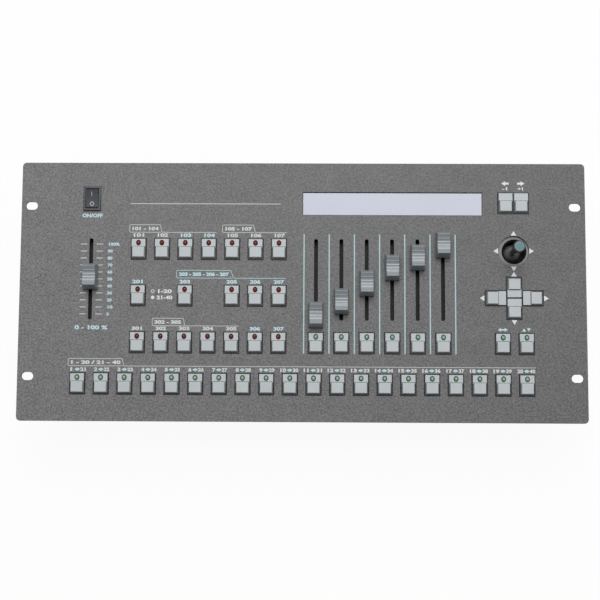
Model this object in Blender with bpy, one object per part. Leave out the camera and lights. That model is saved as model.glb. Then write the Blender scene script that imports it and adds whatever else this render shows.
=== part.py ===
"""Lighting control console: a rack-width panel of keys, faders and a joystick on a shallow steel case.

Metres, +Z up. The case stands on the XY plane, the panel faces +Z, and the origin lies under
the panel's centre. +Y points to the panel's far edge, where the display is.
"""

import math

import bmesh
import bpy
from mathutils import Matrix, Vector

# Clearances
GAP = 0.0003  # between pieces that touch
RUN = 0.0005  # round the joystick's turning pieces

# Panel
PANEL_THICKNESS = 0.0020
PANEL_CORNER = 0.0035
EAR_WIDTH = 0.0223  # panel beyond the case at each side
RACK_SLOT_LENGTH = 0.0100
RACK_SLOT_WIDTH = 0.0068
RACK_SLOT_INSET = 0.00874  # from the panel's side edge to a slot's centre
RACK_SLOT_SPREAD = 0.14605  # between the slots of one side
FRONT_MARGIN = 0.02273  # panel edge to the lowest key frames
REAR_MARGIN = 0.02533  # display to the far panel edge

# Case
CASE_HEIGHT = 0.0777
CASE_SIDE = 0.0143  # from the cursor cross to the case's side
CASE_LIP = 0.0077  # panel beyond the case at front and rear
SHEET = 0.0015
FLANGE_WIDTH = 0.0080

# Keys
KEY_WIDTH = 0.0130
KEY_LENGTH = 0.0180
KEY_GAP = 0.0070  # panel between neighbouring keys of a row
KEY_JOINT = 0.0002  # between frames that stand side by side
ROW_BAND = 0.0170  # from the lowest row to the row above it
SLOT_BAND = 0.01025  # from the flash keys to the fader slots
CROSS_BAND = 0.0118  # from the keys below to the cursor cross
LOW_KEYS = 20
FUNCTION_COLUMNS = 7
MIDDLE_ROW_COLUMNS = (1, 3, 5, 6, 7)
FRAME_WALL = 0.0006
FRAME_FRONT_WALL = 0.0008
FRAME_STAND = 0.0006  # frame top above the panel
WELL_DEPTH = 0.0040  # frame top to the floor of its well
CAP_CLEARANCE = 0.0003
CAP_HEIGHT = 0.0036  # plateau above the panel
CAP_SLOPE_START = 0.0009
CAP_BELOW = 0.0016  # cap's foot below the panel's face
CAP_SIDE_SLOPE = 0.00075
CAP_FRONT_SLOPE = 0.00095
CAP_REAR_SLOPE = 0.0002
LEDGE_LENGTH = 0.0068
LEDGE_MARGIN = 0.0006  # frame beyond the ledge at each side
LEDGE_THICKNESS = 0.0006
LEDGE_LIFT = 0.0006  # ledge above the frame
HINGE_INSET = 0.0006  # frame's rear edge to the key's hinge line
KEY_TILT = math.radians(4)
LAMP_RADIUS = 0.0018
LAMP_HEIGHT = 0.0030  # lamp's tip above the panel
LAMP_TIP_RADIUS = 0.0010
LAMP_TIP_LENGTH = 0.0008
LAMP_REAR = 0.0038  # from the frame's rear edge to the lamp's centre
LAMP_CLEARANCE = 0.0003
LAMP_SIDES = 8
BAR_WIDTH = 0.0024
BAR_HEIGHT = 0.0018
BAR_DROP = 0.0030  # from the caps' feet to the bar that joins a strip of them
POST_WIDTH = 0.0030

# Key board
BOARD_THICKNESS = 0.0016
BOARD_DEPTH = 0.0085  # panel face to the board's top
BOARD_EDGE = 0.0030  # board beyond the outermost frames
WINDOW_CLEARANCE = 0.0010  # board to what passes through it
PILLAR_RADIUS = 0.0025
PILLAR_SIDES = 8
PILLAR_COLUMNS = (-7.75, -2.75, 2.75, 7.75)  # in key pitches
BAND_PILLAR = 0.0090  # from the fader slots to the upper pillars

# Faders
FADERS = 6
FADER_GAP = 0.0086  # between flash keys
FADER_BLOCK_BAND = 0.0144  # from the function keys to the fader block
FADER_TRAVEL = 0.0600
SLOT_WIDTH = 0.0032
SLOT_END_CLEARANCE = 0.001875
STEM_WIDTH = 0.0024
STEM_LENGTH = 0.0060
FADER_CAP_WIDTH = 0.0124
FADER_CAP_TOP_WIDTH = 0.0105
FADER_CAP_TOP_LENGTH = 0.0166
FADER_CAP_LENGTH = 0.0220
FADER_CAP_HEIGHT = 0.0120
FADER_CAP_LIFT = 0.0010
FADER_CAP_SKIRT = 0.0016
DISH_DEPTH = 0.0024
DISH_LENGTH = 0.0152
RIB_HEIGHT = 0.0007
RIB_LENGTH = 0.0012
RIB_TOP_LENGTH = 0.0007
RIB_PITCH = 0.00275
POT_WIDTH = 0.0090
POT_HEIGHT = 0.0070
POT_END = 0.00225  # body beyond its slot
POT_WALL = 0.0009
POT_FLOOR = 0.0010
CARRIAGE_LENGTH = 0.0080
CARRIAGE_HEIGHT = 0.0018
MASTER_REST = 0.0020
FADER_RESTS = (-0.0300, -0.0185, -0.0030, 0.0105, 0.0192, 0.0300)  # from mid travel
COLUMN_SHIFT = 0.0006  # left column beyond the middle of the outer low keys

# Display
DISPLAY_OVERHANG = 0.0005  # display beyond the fader block
DISPLAY_SIDE_BAND = 0.0136  # from the display to the page keys
DISPLAY_WIDTH = 0.1529
DISPLAY_LENGTH = 0.0195
DISPLAY_BAND = 0.0209  # from the fader slots to the display
WINDOW_SINK = 0.0009
WINDOW_RIM = 0.0030
WINDOW_RIM_THICKNESS = 0.0012
MODULE_RIM = 0.0048
MODULE_HEIGHT = 0.0080

# Power rocker
SWITCH_WIDTH = 0.0150
SWITCH_LENGTH = 0.0210
SWITCH_BAND = 0.0239  # from the fader slots to the switch
BEZEL_HEIGHT = 0.0016
BEZEL_WALL = 0.0018
SWITCH_INSET = 0.0010  # body inside the bezel's outline
SWITCH_BODY_DEPTH = 0.0200
ROCKER_DEPTH = 0.0045  # rocker below its axis
ROCKER_AXIS_DEPTH = 0.0010
ROCKER_CLEARANCE = 0.0003
ROCKER_TILT = math.radians(9)
TERMINAL_LENGTH = 0.0080
TERMINAL_WIDTH = 0.0048
TERMINAL_THICKNESS = 0.0008
TERMINAL_PITCH = 0.0070

# Joystick
HOLE_RADIUS = 0.0130  # in the panel
RING_LAP = 0.0012  # ring beyond the hole, behind the panel
RING_THICKNESS = 0.0014
RING_BEVEL = 0.0005
MOUTH_RADIUS = 0.0104
JOYSTICK_BAND = 0.0093  # from the cursor cross to the joystick's hole
JOYSTICK_FLOOR = 0.0117  # well floor below the panel's face
JOYSTICK_FLOOR_THICKNESS = 0.0008
JOYSTICK_WALL = 0.0029
JOYSTICK_TILT = math.radians(15)
BALL_RADIUS = 0.0086
YOKE_WALL = 0.0022
YOKE_HEIGHT = 0.0024
YOKE_PIN_RADIUS = 0.0007
STICK_RADIUS = 0.0019
KNOB_RADIUS = 0.0050
KNOB_FOOT_RADIUS = 0.0034
KNOB_FOOT = 0.0100  # knob's underside above the panel
KNOB_TOP = 0.0295
KNOB_BEVEL = 0.0010
KNOB_SOCKET = 0.0080
ROUND_SIDES = 24
PIN_SIDES = 8

# Pieces on the case floor and rear wall
MAIN_BOARD_WIDTH = 0.1600
MAIN_BOARD_LENGTH = 0.1000
MAIN_BOARD_X = 0.0700
STANDOFF_HEIGHT = 0.0060
STANDOFF_RADIUS = 0.0030
STANDOFF_INSET = 0.0060
CHIP_SIZES = ((0.0520, 0.0140, 0.0050), (0.0300, 0.0300, 0.0040), (0.0260, 0.0100, 0.0100))
CHIP_PLACES = ((-0.0350, 0.0150), (0.0150, -0.0150), (0.0500, 0.0250))
TRANSFORMER_X = -0.1100
CORE_SIZE = (0.0480, 0.0200, 0.0400)
COIL_SIZE = (0.0300, 0.0380, 0.0260)
FOOT_PLATE = (0.0640, 0.0200, 0.0020)
INLET_X = -0.1500
INLET_WIDTH = 0.0270
INLET_HEIGHT = 0.0195
INLET_FLANGE = 0.0018
INLET_RIM = 0.0020
INLET_WALL = 0.0017
INLET_DEPTH = 0.0240
INLET_RECESS = 0.0165
SOCKET_X = 0.1300
SOCKET_RADIUS = 0.0118
SOCKET_PLATE_WIDTH = 0.0260
SOCKET_PLATE_HEIGHT = 0.0310
SOCKET_PLATE = 0.0020
SOCKET_DEPTH = 0.0200
SOCKET_GROOVE = 0.0100
SOCKET_GROOVE_OUTER = 0.0098
SOCKET_GROOVE_INNER = 0.0072

# Pitches and heights that follow
KEY_PITCH = KEY_WIDTH + KEY_GAP
FADER_PITCH = KEY_WIDTH + FADER_GAP
SLOT_LENGTH = FADER_TRAVEL + STEM_LENGTH + 2 * SLOT_END_CLEARANCE
PANEL_BOTTOM = CASE_HEIGHT + GAP
PANEL_TOP = PANEL_BOTTOM + PANEL_THICKNESS
BOARD_TOP = PANEL_TOP - BOARD_DEPTH

# Places along Y, counted from the panel's near edge and moved to its centre
PANEL_LENGTH = (
    FRONT_MARGIN + 2 * KEY_LENGTH + ROW_BAND + SLOT_BAND + SLOT_LENGTH
    + DISPLAY_BAND + DISPLAY_LENGTH + REAR_MARGIN
)
LOW_ROW_Y = FRONT_MARGIN + KEY_LENGTH / 2 - PANEL_LENGTH / 2
FLASH_ROW_Y = LOW_ROW_Y + KEY_LENGTH + ROW_BAND
SLOT_FRONT_Y = FLASH_ROW_Y + KEY_LENGTH / 2 + SLOT_BAND
SLOT_REAR_Y = SLOT_FRONT_Y + SLOT_LENGTH
SLOT_MIDDLE_Y = (SLOT_FRONT_Y + SLOT_REAR_Y) / 2
TOP_ROW_Y = SLOT_REAR_Y - KEY_LENGTH / 2
FUNCTION_ROWS_Y = (TOP_ROW_Y, (TOP_ROW_Y + FLASH_ROW_Y) / 2, FLASH_ROW_Y)
DISPLAY_FRONT_Y = SLOT_REAR_Y + DISPLAY_BAND
DISPLAY_REAR_Y = DISPLAY_FRONT_Y + DISPLAY_LENGTH
PAGE_KEY_Y = DISPLAY_REAR_Y - KEY_LENGTH / 2
SWITCH_Y = SLOT_REAR_Y + SWITCH_BAND + SWITCH_LENGTH / 2
CROSS_REACH_Y = KEY_LENGTH + KEY_JOINT / 2
CROSS_Y = FLASH_ROW_Y + KEY_LENGTH / 2 + CROSS_BAND + CROSS_REACH_Y
JOYSTICK_Y = CROSS_Y + CROSS_REACH_Y + JOYSTICK_BAND + HOLE_RADIUS

# Places along X, from the panel's centre
RIGHT_X = (LOW_KEYS / 2 - 1) * KEY_PITCH
LEFT_X = -RIGHT_X - COLUMN_SHIFT
PAGE_REACH_X = KEY_WIDTH + KEY_JOINT / 2
DISPLAY_RIGHT_X = RIGHT_X - PAGE_REACH_X - DISPLAY_SIDE_BAND
DISPLAY_LEFT_X = DISPLAY_RIGHT_X - DISPLAY_WIDTH
FADER_BLOCK_X = DISPLAY_LEFT_X + DISPLAY_OVERHANG
FADERS_X = [FADER_BLOCK_X + (n + 0.5) * FADER_PITCH for n in range(FADERS)]
LAST_FUNCTION_X = FADER_BLOCK_X - FADER_BLOCK_BAND - KEY_WIDTH / 2
CROSS_REACH_X = KEY_WIDTH / 2 + KEY_JOINT + KEY_LENGTH
CASE_WIDTH = 2 * (RIGHT_X + CROSS_REACH_X + CASE_SIDE)
CASE_LENGTH = PANEL_LENGTH - 2 * CASE_LIP
PANEL_WIDTH = CASE_WIDTH + 2 * EAR_WIDTH

# One key, from its frame's centre
LEDGE_FRONT_Y = KEY_LENGTH / 2 - GAP - LEDGE_LENGTH
BLOCK_FRONT_Y = -KEY_LENGTH / 2 + FRAME_FRONT_WALL + CAP_CLEARANCE
BLOCK_HALF_WIDTH = KEY_WIDTH / 2 - FRAME_WALL - CAP_CLEARANCE
HINGE_Y = KEY_LENGTH / 2 - HINGE_INSET
LAMP_Y = KEY_LENGTH / 2 - LAMP_REAR
LEDGE_BOTTOM = FRAME_STAND + LEDGE_LIFT
LEDGE_TOP = LEDGE_BOTTOM + LEDGE_THICKNESS
BAR_TOP = -CAP_BELOW - BAR_DROP
BAR_SWING = (LEDGE_BOTTOM - BAR_TOP + BAR_HEIGHT) * math.sin(KEY_TILT)
BAR_FALL = (HINGE_Y + BAR_WIDTH / 2) * math.sin(KEY_TILT)

# Joystick, below the panel's face
YOKE_INNER = BALL_RADIUS + RUN
YOKE_OUTER = YOKE_INNER + YOKE_WALL
YOKE_SWEEP = YOKE_OUTER * math.sin(JOYSTICK_TILT) + YOKE_HEIGHT / 2
PIVOT_DEPTH = JOYSTICK_FLOOR + JOYSTICK_FLOOR_THICKNESS + GAP + YOKE_SWEEP
CAVITY_RADIUS = YOKE_OUTER + RUN
JOYSTICK_HALF = CAVITY_RADIUS + JOYSTICK_WALL
JOYSTICK_BODY_DEPTH = PIVOT_DEPTH + YOKE_SWEEP + 4 * RUN


def material(name, colour, roughness, metallic=0.0):
    made = bpy.data.materials.new(name)
    made.use_nodes = True
    shader = made.node_tree.nodes["Principled BSDF"]
    shader.inputs["Base Color"].default_value = (*colour, 1)
    shader.inputs["Roughness"].default_value = roughness
    shader.inputs["Metallic"].default_value = metallic
    return made


def add_prism(bm, outline, low, high, axis="Z"):
    """An outline of points (u, v) pushed along an axis: (x, y) along Z, (y, z) along X, (x, z) along Y."""
    place = {
        "Z": lambda u, v, w: (u, v, w),
        "X": lambda u, v, w: (w, u, v),
        "Y": lambda u, v, w: (u, w, v),
    }[axis]
    rings = [[bm.verts.new(place(u, v, w)) for u, v in outline] for w in (low, high)]
    faces = [bm.faces.new(rings[0]), bm.faces.new(rings[1])]
    for n in range(len(outline)):
        m = (n + 1) % len(outline)
        faces.append(bm.faces.new((rings[0][n], rings[0][m], rings[1][m], rings[1][n])))
    bmesh.ops.recalc_face_normals(bm, faces=faces)


def add_box(bm, low, high):
    outline = [(low[0], low[1]), (high[0], low[1]), (high[0], high[1]), (low[0], high[1])]
    add_prism(bm, outline, low[2], high[2])


def add_turned(bm, profile, centre=(0, 0, 0), sides=ROUND_SIDES, axis="Z"):
    """A closed profile of points (radius, height) turned about an axis through the centre."""
    turn = {
        "Z": Matrix.Identity(4),
        "X": Matrix.Rotation(math.pi / 2, 4, "Y"),
        "Y": Matrix.Rotation(-math.pi / 2, 4, "X"),
    }[axis]
    place = Matrix.Translation(centre) @ turn
    rings = []
    for radius, height in profile:
        if radius == 0:
            rings.append([bm.verts.new(place @ Vector((0, 0, height)))])
            continue
        angles = [2 * math.pi * n / sides for n in range(sides)]
        points = [(radius * math.cos(a), radius * math.sin(a), height) for a in angles]
        rings.append([bm.verts.new(place @ Vector(p)) for p in points])
    faces = []
    for ring, after in zip(rings, rings[1:] + rings[:1]):
        if len(ring) == 1 and len(after) == 1:
            continue
        for n in range(sides):
            m = (n + 1) % sides
            corners = [ring[n % len(ring)], ring[m % len(ring)], after[m % len(after)], after[n % len(after)]]
            faces.append(bm.faces.new(list(dict.fromkeys(corners))))
    bmesh.ops.recalc_face_normals(bm, faces=faces)


def add_rod(bm, radius, low, high, centre, sides=PIN_SIDES, axis="Z"):
    add_turned(bm, [(0, low), (radius, low), (radius, high), (0, high)], centre, sides, axis)


def stadium(x, y, length_x, length_y, steps=5):
    """A slot's outline with round ends, long in X or in Y."""
    radius = min(length_x, length_y) / 2
    reach_x = length_x / 2 - radius
    reach_y = length_y / 2 - radius
    start = -math.pi / 2 if length_x > length_y else 0
    points = []
    for end in (1, -1):
        for n in range(steps + 1):
            angle = start + math.pi * n / steps + (0 if end == 1 else math.pi)
            points.append((
                x + end * reach_x + radius * math.cos(angle),
                y + end * reach_y + radius * math.sin(angle),
            ))
    return points


def rectangle(x0, x1, y0, y1):
    return [(x0, y0), (x1, y0), (x1, y1), (x0, y1)]


def rounded_rectangle(half_x, half_y, radius, steps=4):
    points = []
    for quarter, (sx, sy) in enumerate(((1, 1), (-1, 1), (-1, -1), (1, -1))):
        for n in range(steps + 1):
            angle = (quarter + n / steps) * math.pi / 2
            points.append((
                sx * (half_x - radius) + radius * math.cos(angle),
                sy * (half_y - radius) + radius * math.sin(angle),
            ))
    return points


def place_mesh(name, bm, surface, origin=(0, 0, 0), smooth=False):
    """An object whose mesh points are counted from its origin."""
    mesh = bpy.data.meshes.new(name)
    bm.to_mesh(mesh)
    bm.free()
    if smooth:
        mesh.shade_smooth()
        mesh.set_sharp_from_angle(angle=math.radians(35))
    mesh.materials.append(surface)
    piece = bpy.data.objects.new(name, mesh)
    piece.location = origin
    bpy.context.scene.collection.objects.link(piece)
    return piece


def combine(piece, operation, draw):
    """Joins to or cuts from the piece the shape that draw(bm) makes, in the piece's own coordinates."""
    bm = bmesh.new()
    draw(bm)
    helper = place_mesh(f"{piece.name}_{operation.lower()}", bm, piece.data.materials[0])
    helper.parent = piece
    helper.hide_render = True
    helper.display_type = "WIRE"
    step = piece.modifiers.new(operation.title(), "BOOLEAN")
    step.operation = operation
    step.solver = "EXACT"
    step.object = helper


def settled_mesh(piece):
    """The piece's mesh with its Booleans carried out. The piece and its helpers are removed."""
    bpy.context.view_layer.update()
    graph = bpy.context.evaluated_depsgraph_get()
    mesh = bpy.data.meshes.new_from_object(piece.evaluated_get(graph))
    mesh.name = piece.name
    for helper in list(piece.children):
        bpy.data.objects.remove(helper)
    bpy.data.objects.remove(piece)
    return mesh


def new_piece(name, surface, draw, origin=(0, 0, 0), smooth=False):
    bm = bmesh.new()
    draw(bm)
    return place_mesh(name, bm, surface, origin, smooth)


def key_places():
    """Each key as (name, x, y, turn, has lamp). The turn is the angle from a key that is pressed at its near end."""
    keys = []
    for row, y in enumerate(FUNCTION_ROWS_Y, 1):
        columns = MIDDLE_ROW_COLUMNS if row == 2 else range(1, FUNCTION_COLUMNS + 1)
        for column in columns:
            x = LAST_FUNCTION_X + (column - FUNCTION_COLUMNS) * KEY_PITCH
            keys.append((f"function_key_{row}{column}", x, y, 0, True))
    for n, x in enumerate(FADERS_X, 1):
        keys.append((f"flash_key_{n}", x, FLASH_ROW_Y, 0, True))
    for name, side in (("left", -1), ("right", 1)):
        keys.append((f"axis_key_{name}", RIGHT_X + side * KEY_PITCH / 2, FLASH_ROW_Y, 0, True))
        page_x = RIGHT_X + side * (KEY_WIDTH + KEY_JOINT) / 2
        keys.append((f"page_key_{name}", page_x, PAGE_KEY_Y, 0, False))
        cursor_x = RIGHT_X + side * (CROSS_REACH_X - KEY_LENGTH / 2)
        keys.append((f"cursor_key_{name}", cursor_x, CROSS_Y, side * math.pi / 2, False))
    for name, side, turn in (("up", 1, math.pi), ("down", -1, 0)):
        cursor_y = CROSS_Y + side * (CROSS_REACH_Y - KEY_LENGTH / 2)
        keys.append((f"cursor_key_{name}", RIGHT_X, cursor_y, turn, False))
    return keys


def low_key_places():
    return [((n - (LOW_KEYS - 1) / 2) * KEY_PITCH, LOW_ROW_Y) for n in range(LOW_KEYS)]


def turned_box(bm, x, y, turn, low, high):
    """A box given from a key's centre, turned about that centre by a whole number of quarters."""
    about = Matrix.Translation((x, y, 0)) @ Matrix.Rotation(turn, 4, "Z")
    corners = [about @ Vector(low), about @ Vector(high)]
    add_box(
        bm,
        [min(c[axis] for c in corners) for axis in range(3)],
        [max(c[axis] for c in corners) for axis in range(3)],
    )


def make_front_panel(surface):
    half_x = PANEL_WIDTH / 2
    half_y = PANEL_LENGTH / 2

    def plate(bm):
        """The whole sheet, with an edge where each ear leaves the case."""
        add_prism(bm, rounded_rectangle(half_x, half_y, PANEL_CORNER), PANEL_BOTTOM, PANEL_TOP)
        for x in (-CASE_WIDTH / 2 - GAP, CASE_WIDTH / 2 + GAP):
            everything = [*bm.verts, *bm.edges, *bm.faces]
            bmesh.ops.bisect_plane(bm, geom=everything, plane_co=(x, 0, 0), plane_no=(1, 0, 0))

    def openings(bm):
        outlines = []
        for name, x, y, turn, _ in key_places():
            if name.startswith(("function", "flash", "axis")):
                outlines.append(rectangle(*key_cutout(x, y)))
        outlines += [rectangle(*key_cutout(x, y)) for x, y in low_key_places()]
        page_half = PAGE_REACH_X + GAP
        outlines.append(rectangle(RIGHT_X - page_half, RIGHT_X + page_half, *key_cutout(0, PAGE_KEY_Y)[2:]))
        outlines.append(cross_outline())
        slot_x = [LEFT_X, *FADERS_X]
        outlines += [stadium(x, SLOT_MIDDLE_Y, SLOT_WIDTH, SLOT_LENGTH) for x in slot_x]
        for x in (RACK_SLOT_INSET - half_x, half_x - RACK_SLOT_INSET):
            for y in (-RACK_SLOT_SPREAD / 2, RACK_SLOT_SPREAD / 2):
                outlines.append(stadium(x, y, RACK_SLOT_LENGTH, RACK_SLOT_WIDTH))
        outlines.append(rectangle(
            DISPLAY_LEFT_X - GAP, DISPLAY_RIGHT_X + GAP, DISPLAY_FRONT_Y - GAP, DISPLAY_REAR_Y + GAP,
        ))
        body_x = SWITCH_WIDTH / 2 - SWITCH_INSET + GAP
        body_y = SWITCH_LENGTH / 2 - SWITCH_INSET + GAP
        outlines.append(rectangle(LEFT_X - body_x, LEFT_X + body_x, SWITCH_Y - body_y, SWITCH_Y + body_y))
        for outline in outlines:
            add_prism(bm, outline, PANEL_BOTTOM - GAP, PANEL_TOP + GAP)
        add_rod(bm, HOLE_RADIUS, PANEL_BOTTOM - GAP, PANEL_TOP + GAP, (RIGHT_X, JOYSTICK_Y, 0), ROUND_SIDES)

    combine(new_piece("front_panel", surface, plate), "DIFFERENCE", openings)


def key_cutout(x, y):
    half_x = KEY_WIDTH / 2 + GAP
    half_y = KEY_LENGTH / 2 + GAP
    return x - half_x, x + half_x, y - half_y, y + half_y


def cross_outline():
    """The plus-shaped hole round the four cursor keys."""
    arm = KEY_WIDTH / 2 + GAP
    reach_x = CROSS_REACH_X + GAP
    reach_y = CROSS_REACH_Y + GAP
    quarter = [(arm, arm), (arm, reach_y), (-arm, reach_y), (-arm, arm)]
    left = [(-reach_x, arm), (-reach_x, -arm)]
    below = [(-arm, -arm), (-arm, -reach_y), (arm, -reach_y), (arm, -arm)]
    right = [(reach_x, -arm), (reach_x, arm)]
    return [(RIGHT_X + x, CROSS_Y + y) for x, y in quarter + left + below + right]


def make_case(surface):
    half_x = CASE_WIDTH / 2
    half_y = CASE_LENGTH / 2

    def outside(bm):
        add_box(bm, (-half_x, -half_y, 0), (half_x, half_y, CASE_HEIGHT))

    def pocket(bm):
        add_box(
            bm,
            (SHEET - half_x, SHEET - half_y, SHEET),
            (half_x - SHEET, half_y - SHEET, CASE_HEIGHT - SHEET),
        )

    def mouth(bm):
        inset = SHEET + FLANGE_WIDTH
        add_box(
            bm,
            (inset - half_x, inset - half_y, CASE_HEIGHT / 2),
            (half_x - inset, half_y - inset, CASE_HEIGHT + SHEET),
        )

    def connector_holes(bm):
        middle = CASE_HEIGHT / 2
        inlet_x = INLET_WIDTH / 2 + GAP
        inlet_z = INLET_HEIGHT / 2 + GAP
        add_box(
            bm,
            (INLET_X - inlet_x, half_y - 2 * SHEET, middle - inlet_z),
            (INLET_X + inlet_x, half_y + SHEET, middle + inlet_z),
        )
        add_rod(
            bm, SOCKET_RADIUS + GAP, -2 * SHEET, SHEET, (SOCKET_X, half_y, middle), ROUND_SIDES, "Y",
        )

    case = new_piece("case_tray", surface, outside)
    combine(case, "DIFFERENCE", pocket)
    combine(case, "DIFFERENCE", mouth)
    combine(case, "DIFFERENCE", connector_holes)


def make_key_board(surface):
    """The board with every key's frame and lamp soldered on, and pillars that meet the panel."""
    top = -BOARD_DEPTH
    bottom = top - BOARD_THICKNESS
    sink = top - BOARD_THICKNESS / 2
    half_x = RIGHT_X + CROSS_REACH_X + BOARD_EDGE
    front = LOW_ROW_Y - KEY_LENGTH / 2 - BOARD_EDGE
    rear = DISPLAY_REAR_Y + BOARD_EDGE
    singles = key_places()

    def plate(bm):
        add_box(bm, (-half_x, front, bottom), (half_x, rear, top))

    def windows(bm):
        body = POT_WIDTH / 2 + WINDOW_CLEARANCE
        slots = (SLOT_FRONT_Y - POT_END - WINDOW_CLEARANCE, SLOT_REAR_Y + POT_END + WINDOW_CLEARANCE)
        joystick = JOYSTICK_HALF + WINDOW_CLEARANCE
        switch_x = SWITCH_WIDTH / 2 + WINDOW_CLEARANCE
        display = MODULE_RIM + WINDOW_CLEARANCE
        areas = (
            (LEFT_X - body, LEFT_X + body, *slots),
            (FADERS_X[0] - body - POT_END, FADERS_X[-1] + body + POT_END, *slots),
            (RIGHT_X - joystick, RIGHT_X + joystick, JOYSTICK_Y - joystick, JOYSTICK_Y + joystick),
            (
                LEFT_X - switch_x, LEFT_X + switch_x,
                SWITCH_Y - SWITCH_LENGTH / 2 - WINDOW_CLEARANCE, SWITCH_Y + SWITCH_LENGTH,
            ),
            (
                DISPLAY_LEFT_X - display, DISPLAY_RIGHT_X + display,
                DISPLAY_FRONT_Y - display, DISPLAY_REAR_Y + DISPLAY_LENGTH,
            ),
        )
        for x0, x1, y0, y1 in areas:
            add_prism(bm, rectangle(x0, x1, y0, y1), bottom - GAP, top + GAP)

    def frames(bm):
        low = (-KEY_WIDTH / 2, -KEY_LENGTH / 2, sink)
        high = (KEY_WIDTH / 2, KEY_LENGTH / 2, FRAME_STAND)
        for _, x, y, turn, _ in singles:
            turned_box(bm, x, y, turn, low, high)
        for x, y in low_key_places():
            turned_box(bm, x, y, 0, low, high)

    def wells(bm):
        low = (FRAME_WALL - KEY_WIDTH / 2, FRAME_FRONT_WALL - KEY_LENGTH / 2, FRAME_STAND - WELL_DEPTH)
        high = (KEY_WIDTH / 2 - FRAME_WALL, LEDGE_FRONT_Y + CAP_CLEARANCE, FRAME_STAND + GAP)
        for _, x, y, turn, _ in singles:
            turned_box(bm, x, y, turn, low, high)
        for x, y in low_key_places():
            turned_box(bm, x, y, 0, low, high)

    def tunnel(bm):
        """The way for the bar under each strip of low keys."""
        reach = low_key_places()[-1][0] + KEY_WIDTH
        add_box(
            bm,
            (-reach, LOW_ROW_Y - BAR_WIDTH / 2 - CAP_CLEARANCE, BAR_TOP - BAR_HEIGHT - BAR_FALL - CAP_CLEARANCE),
            (
                reach, LOW_ROW_Y + BAR_WIDTH / 2 + BAR_SWING + CAP_CLEARANCE,
                FRAME_STAND - WELL_DEPTH + 2 * CAP_CLEARANCE,
            ),
        )

    def lamps_and_pillars(bm):
        lamp = [
            (0, -FRAME_STAND), (LAMP_RADIUS, -FRAME_STAND), (LAMP_RADIUS, LAMP_HEIGHT - LAMP_TIP_LENGTH),
            (LAMP_TIP_RADIUS, LAMP_HEIGHT), (0, LAMP_HEIGHT),
        ]
        lit = [(x, y) for _, x, y, _, has_lamp in singles if has_lamp] + low_key_places()
        for x, y in lit:
            add_turned(bm, lamp, (x, y + LAMP_Y, 0), LAMP_SIDES)
        lower = (LOW_ROW_Y + FLASH_ROW_Y) / 2
        upper = SLOT_REAR_Y + BAND_PILLAR
        for column in PILLAR_COLUMNS:
            for y in (lower, upper):
                add_rod(bm, PILLAR_RADIUS, sink, -PANEL_THICKNESS - GAP, (column * KEY_PITCH, y, 0), PILLAR_SIDES)

    board = new_piece("key_board", surface, plate, (0, 0, PANEL_TOP))
    combine(board, "DIFFERENCE", windows)
    combine(board, "UNION", frames)
    combine(board, "DIFFERENCE", wells)
    combine(board, "DIFFERENCE", tunnel)
    combine(board, "UNION", lamps_and_pillars)


def draw_ledge(bm):
    """The cap's rear ledge, counted from the key's hinge line."""
    half = KEY_WIDTH / 2 - LEDGE_MARGIN
    add_box(
        bm,
        (-half, LEDGE_FRONT_Y - HINGE_Y - GAP, 0),
        (half, KEY_LENGTH / 2 - GAP - HINGE_Y, LEDGE_THICKNESS),
    )


def draw_block(bm):
    """The part of the cap that is pressed: a block in the well, narrowing to the plateau."""
    half = BLOCK_HALF_WIDTH
    front = BLOCK_FRONT_Y - HINGE_Y
    rear = LEDGE_FRONT_Y - HINGE_Y
    sections = (
        (half, front, rear, -CAP_BELOW),
        (half, front, rear, CAP_SLOPE_START),
        (half - CAP_SIDE_SLOPE, front + CAP_FRONT_SLOPE, rear - CAP_REAR_SLOPE, CAP_HEIGHT),
    )
    rings = []
    for width, y0, y1, z in sections:
        height = z - LEDGE_BOTTOM
        rings.append([bm.verts.new((x, y, height)) for x, y in rectangle(-width, width, y0, y1)])
    faces = [bm.faces.new(rings[0]), bm.faces.new(rings[-1])]
    for ring, after in zip(rings, rings[1:]):
        for n in range(4):
            m = (n + 1) % 4
            faces.append(bm.faces.new((ring[n], ring[m], after[m], after[n])))
    bmesh.ops.recalc_face_normals(bm, faces=faces)


def cap_mesh(name, surface, has_lamp):
    cap = new_piece(name, surface, draw_block)
    combine(cap, "UNION", draw_ledge)
    if has_lamp:
        def lamp_hole(bm):
            add_rod(
                bm, LAMP_RADIUS + LAMP_CLEARANCE, -GAP, LEDGE_THICKNESS + GAP,
                (0, LAMP_Y - HINGE_Y, 0), LAMP_SIDES,
            )
        combine(cap, "DIFFERENCE", lamp_hole)
    return settled_mesh(cap)


def make_keys(surface):
    """One cap for each single key, with its origin on its hinge line."""
    meshes = {True: cap_mesh("lamp_key_cap", surface, True), False: cap_mesh("plain_key_cap", surface, False)}
    for name, x, y, turn, has_lamp in key_places():
        cap = bpy.data.objects.new(name, meshes[has_lamp])
        hinge = Matrix.Rotation(turn, 4, "Z") @ Vector((0, HINGE_Y, 0))
        cap.location = (x + hinge.x, y + hinge.y, PANEL_TOP + LEDGE_BOTTOM)
        cap.rotation_euler = (0, 0, turn)
        bpy.context.scene.collection.objects.link(cap)
    return meshes[True]


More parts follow.
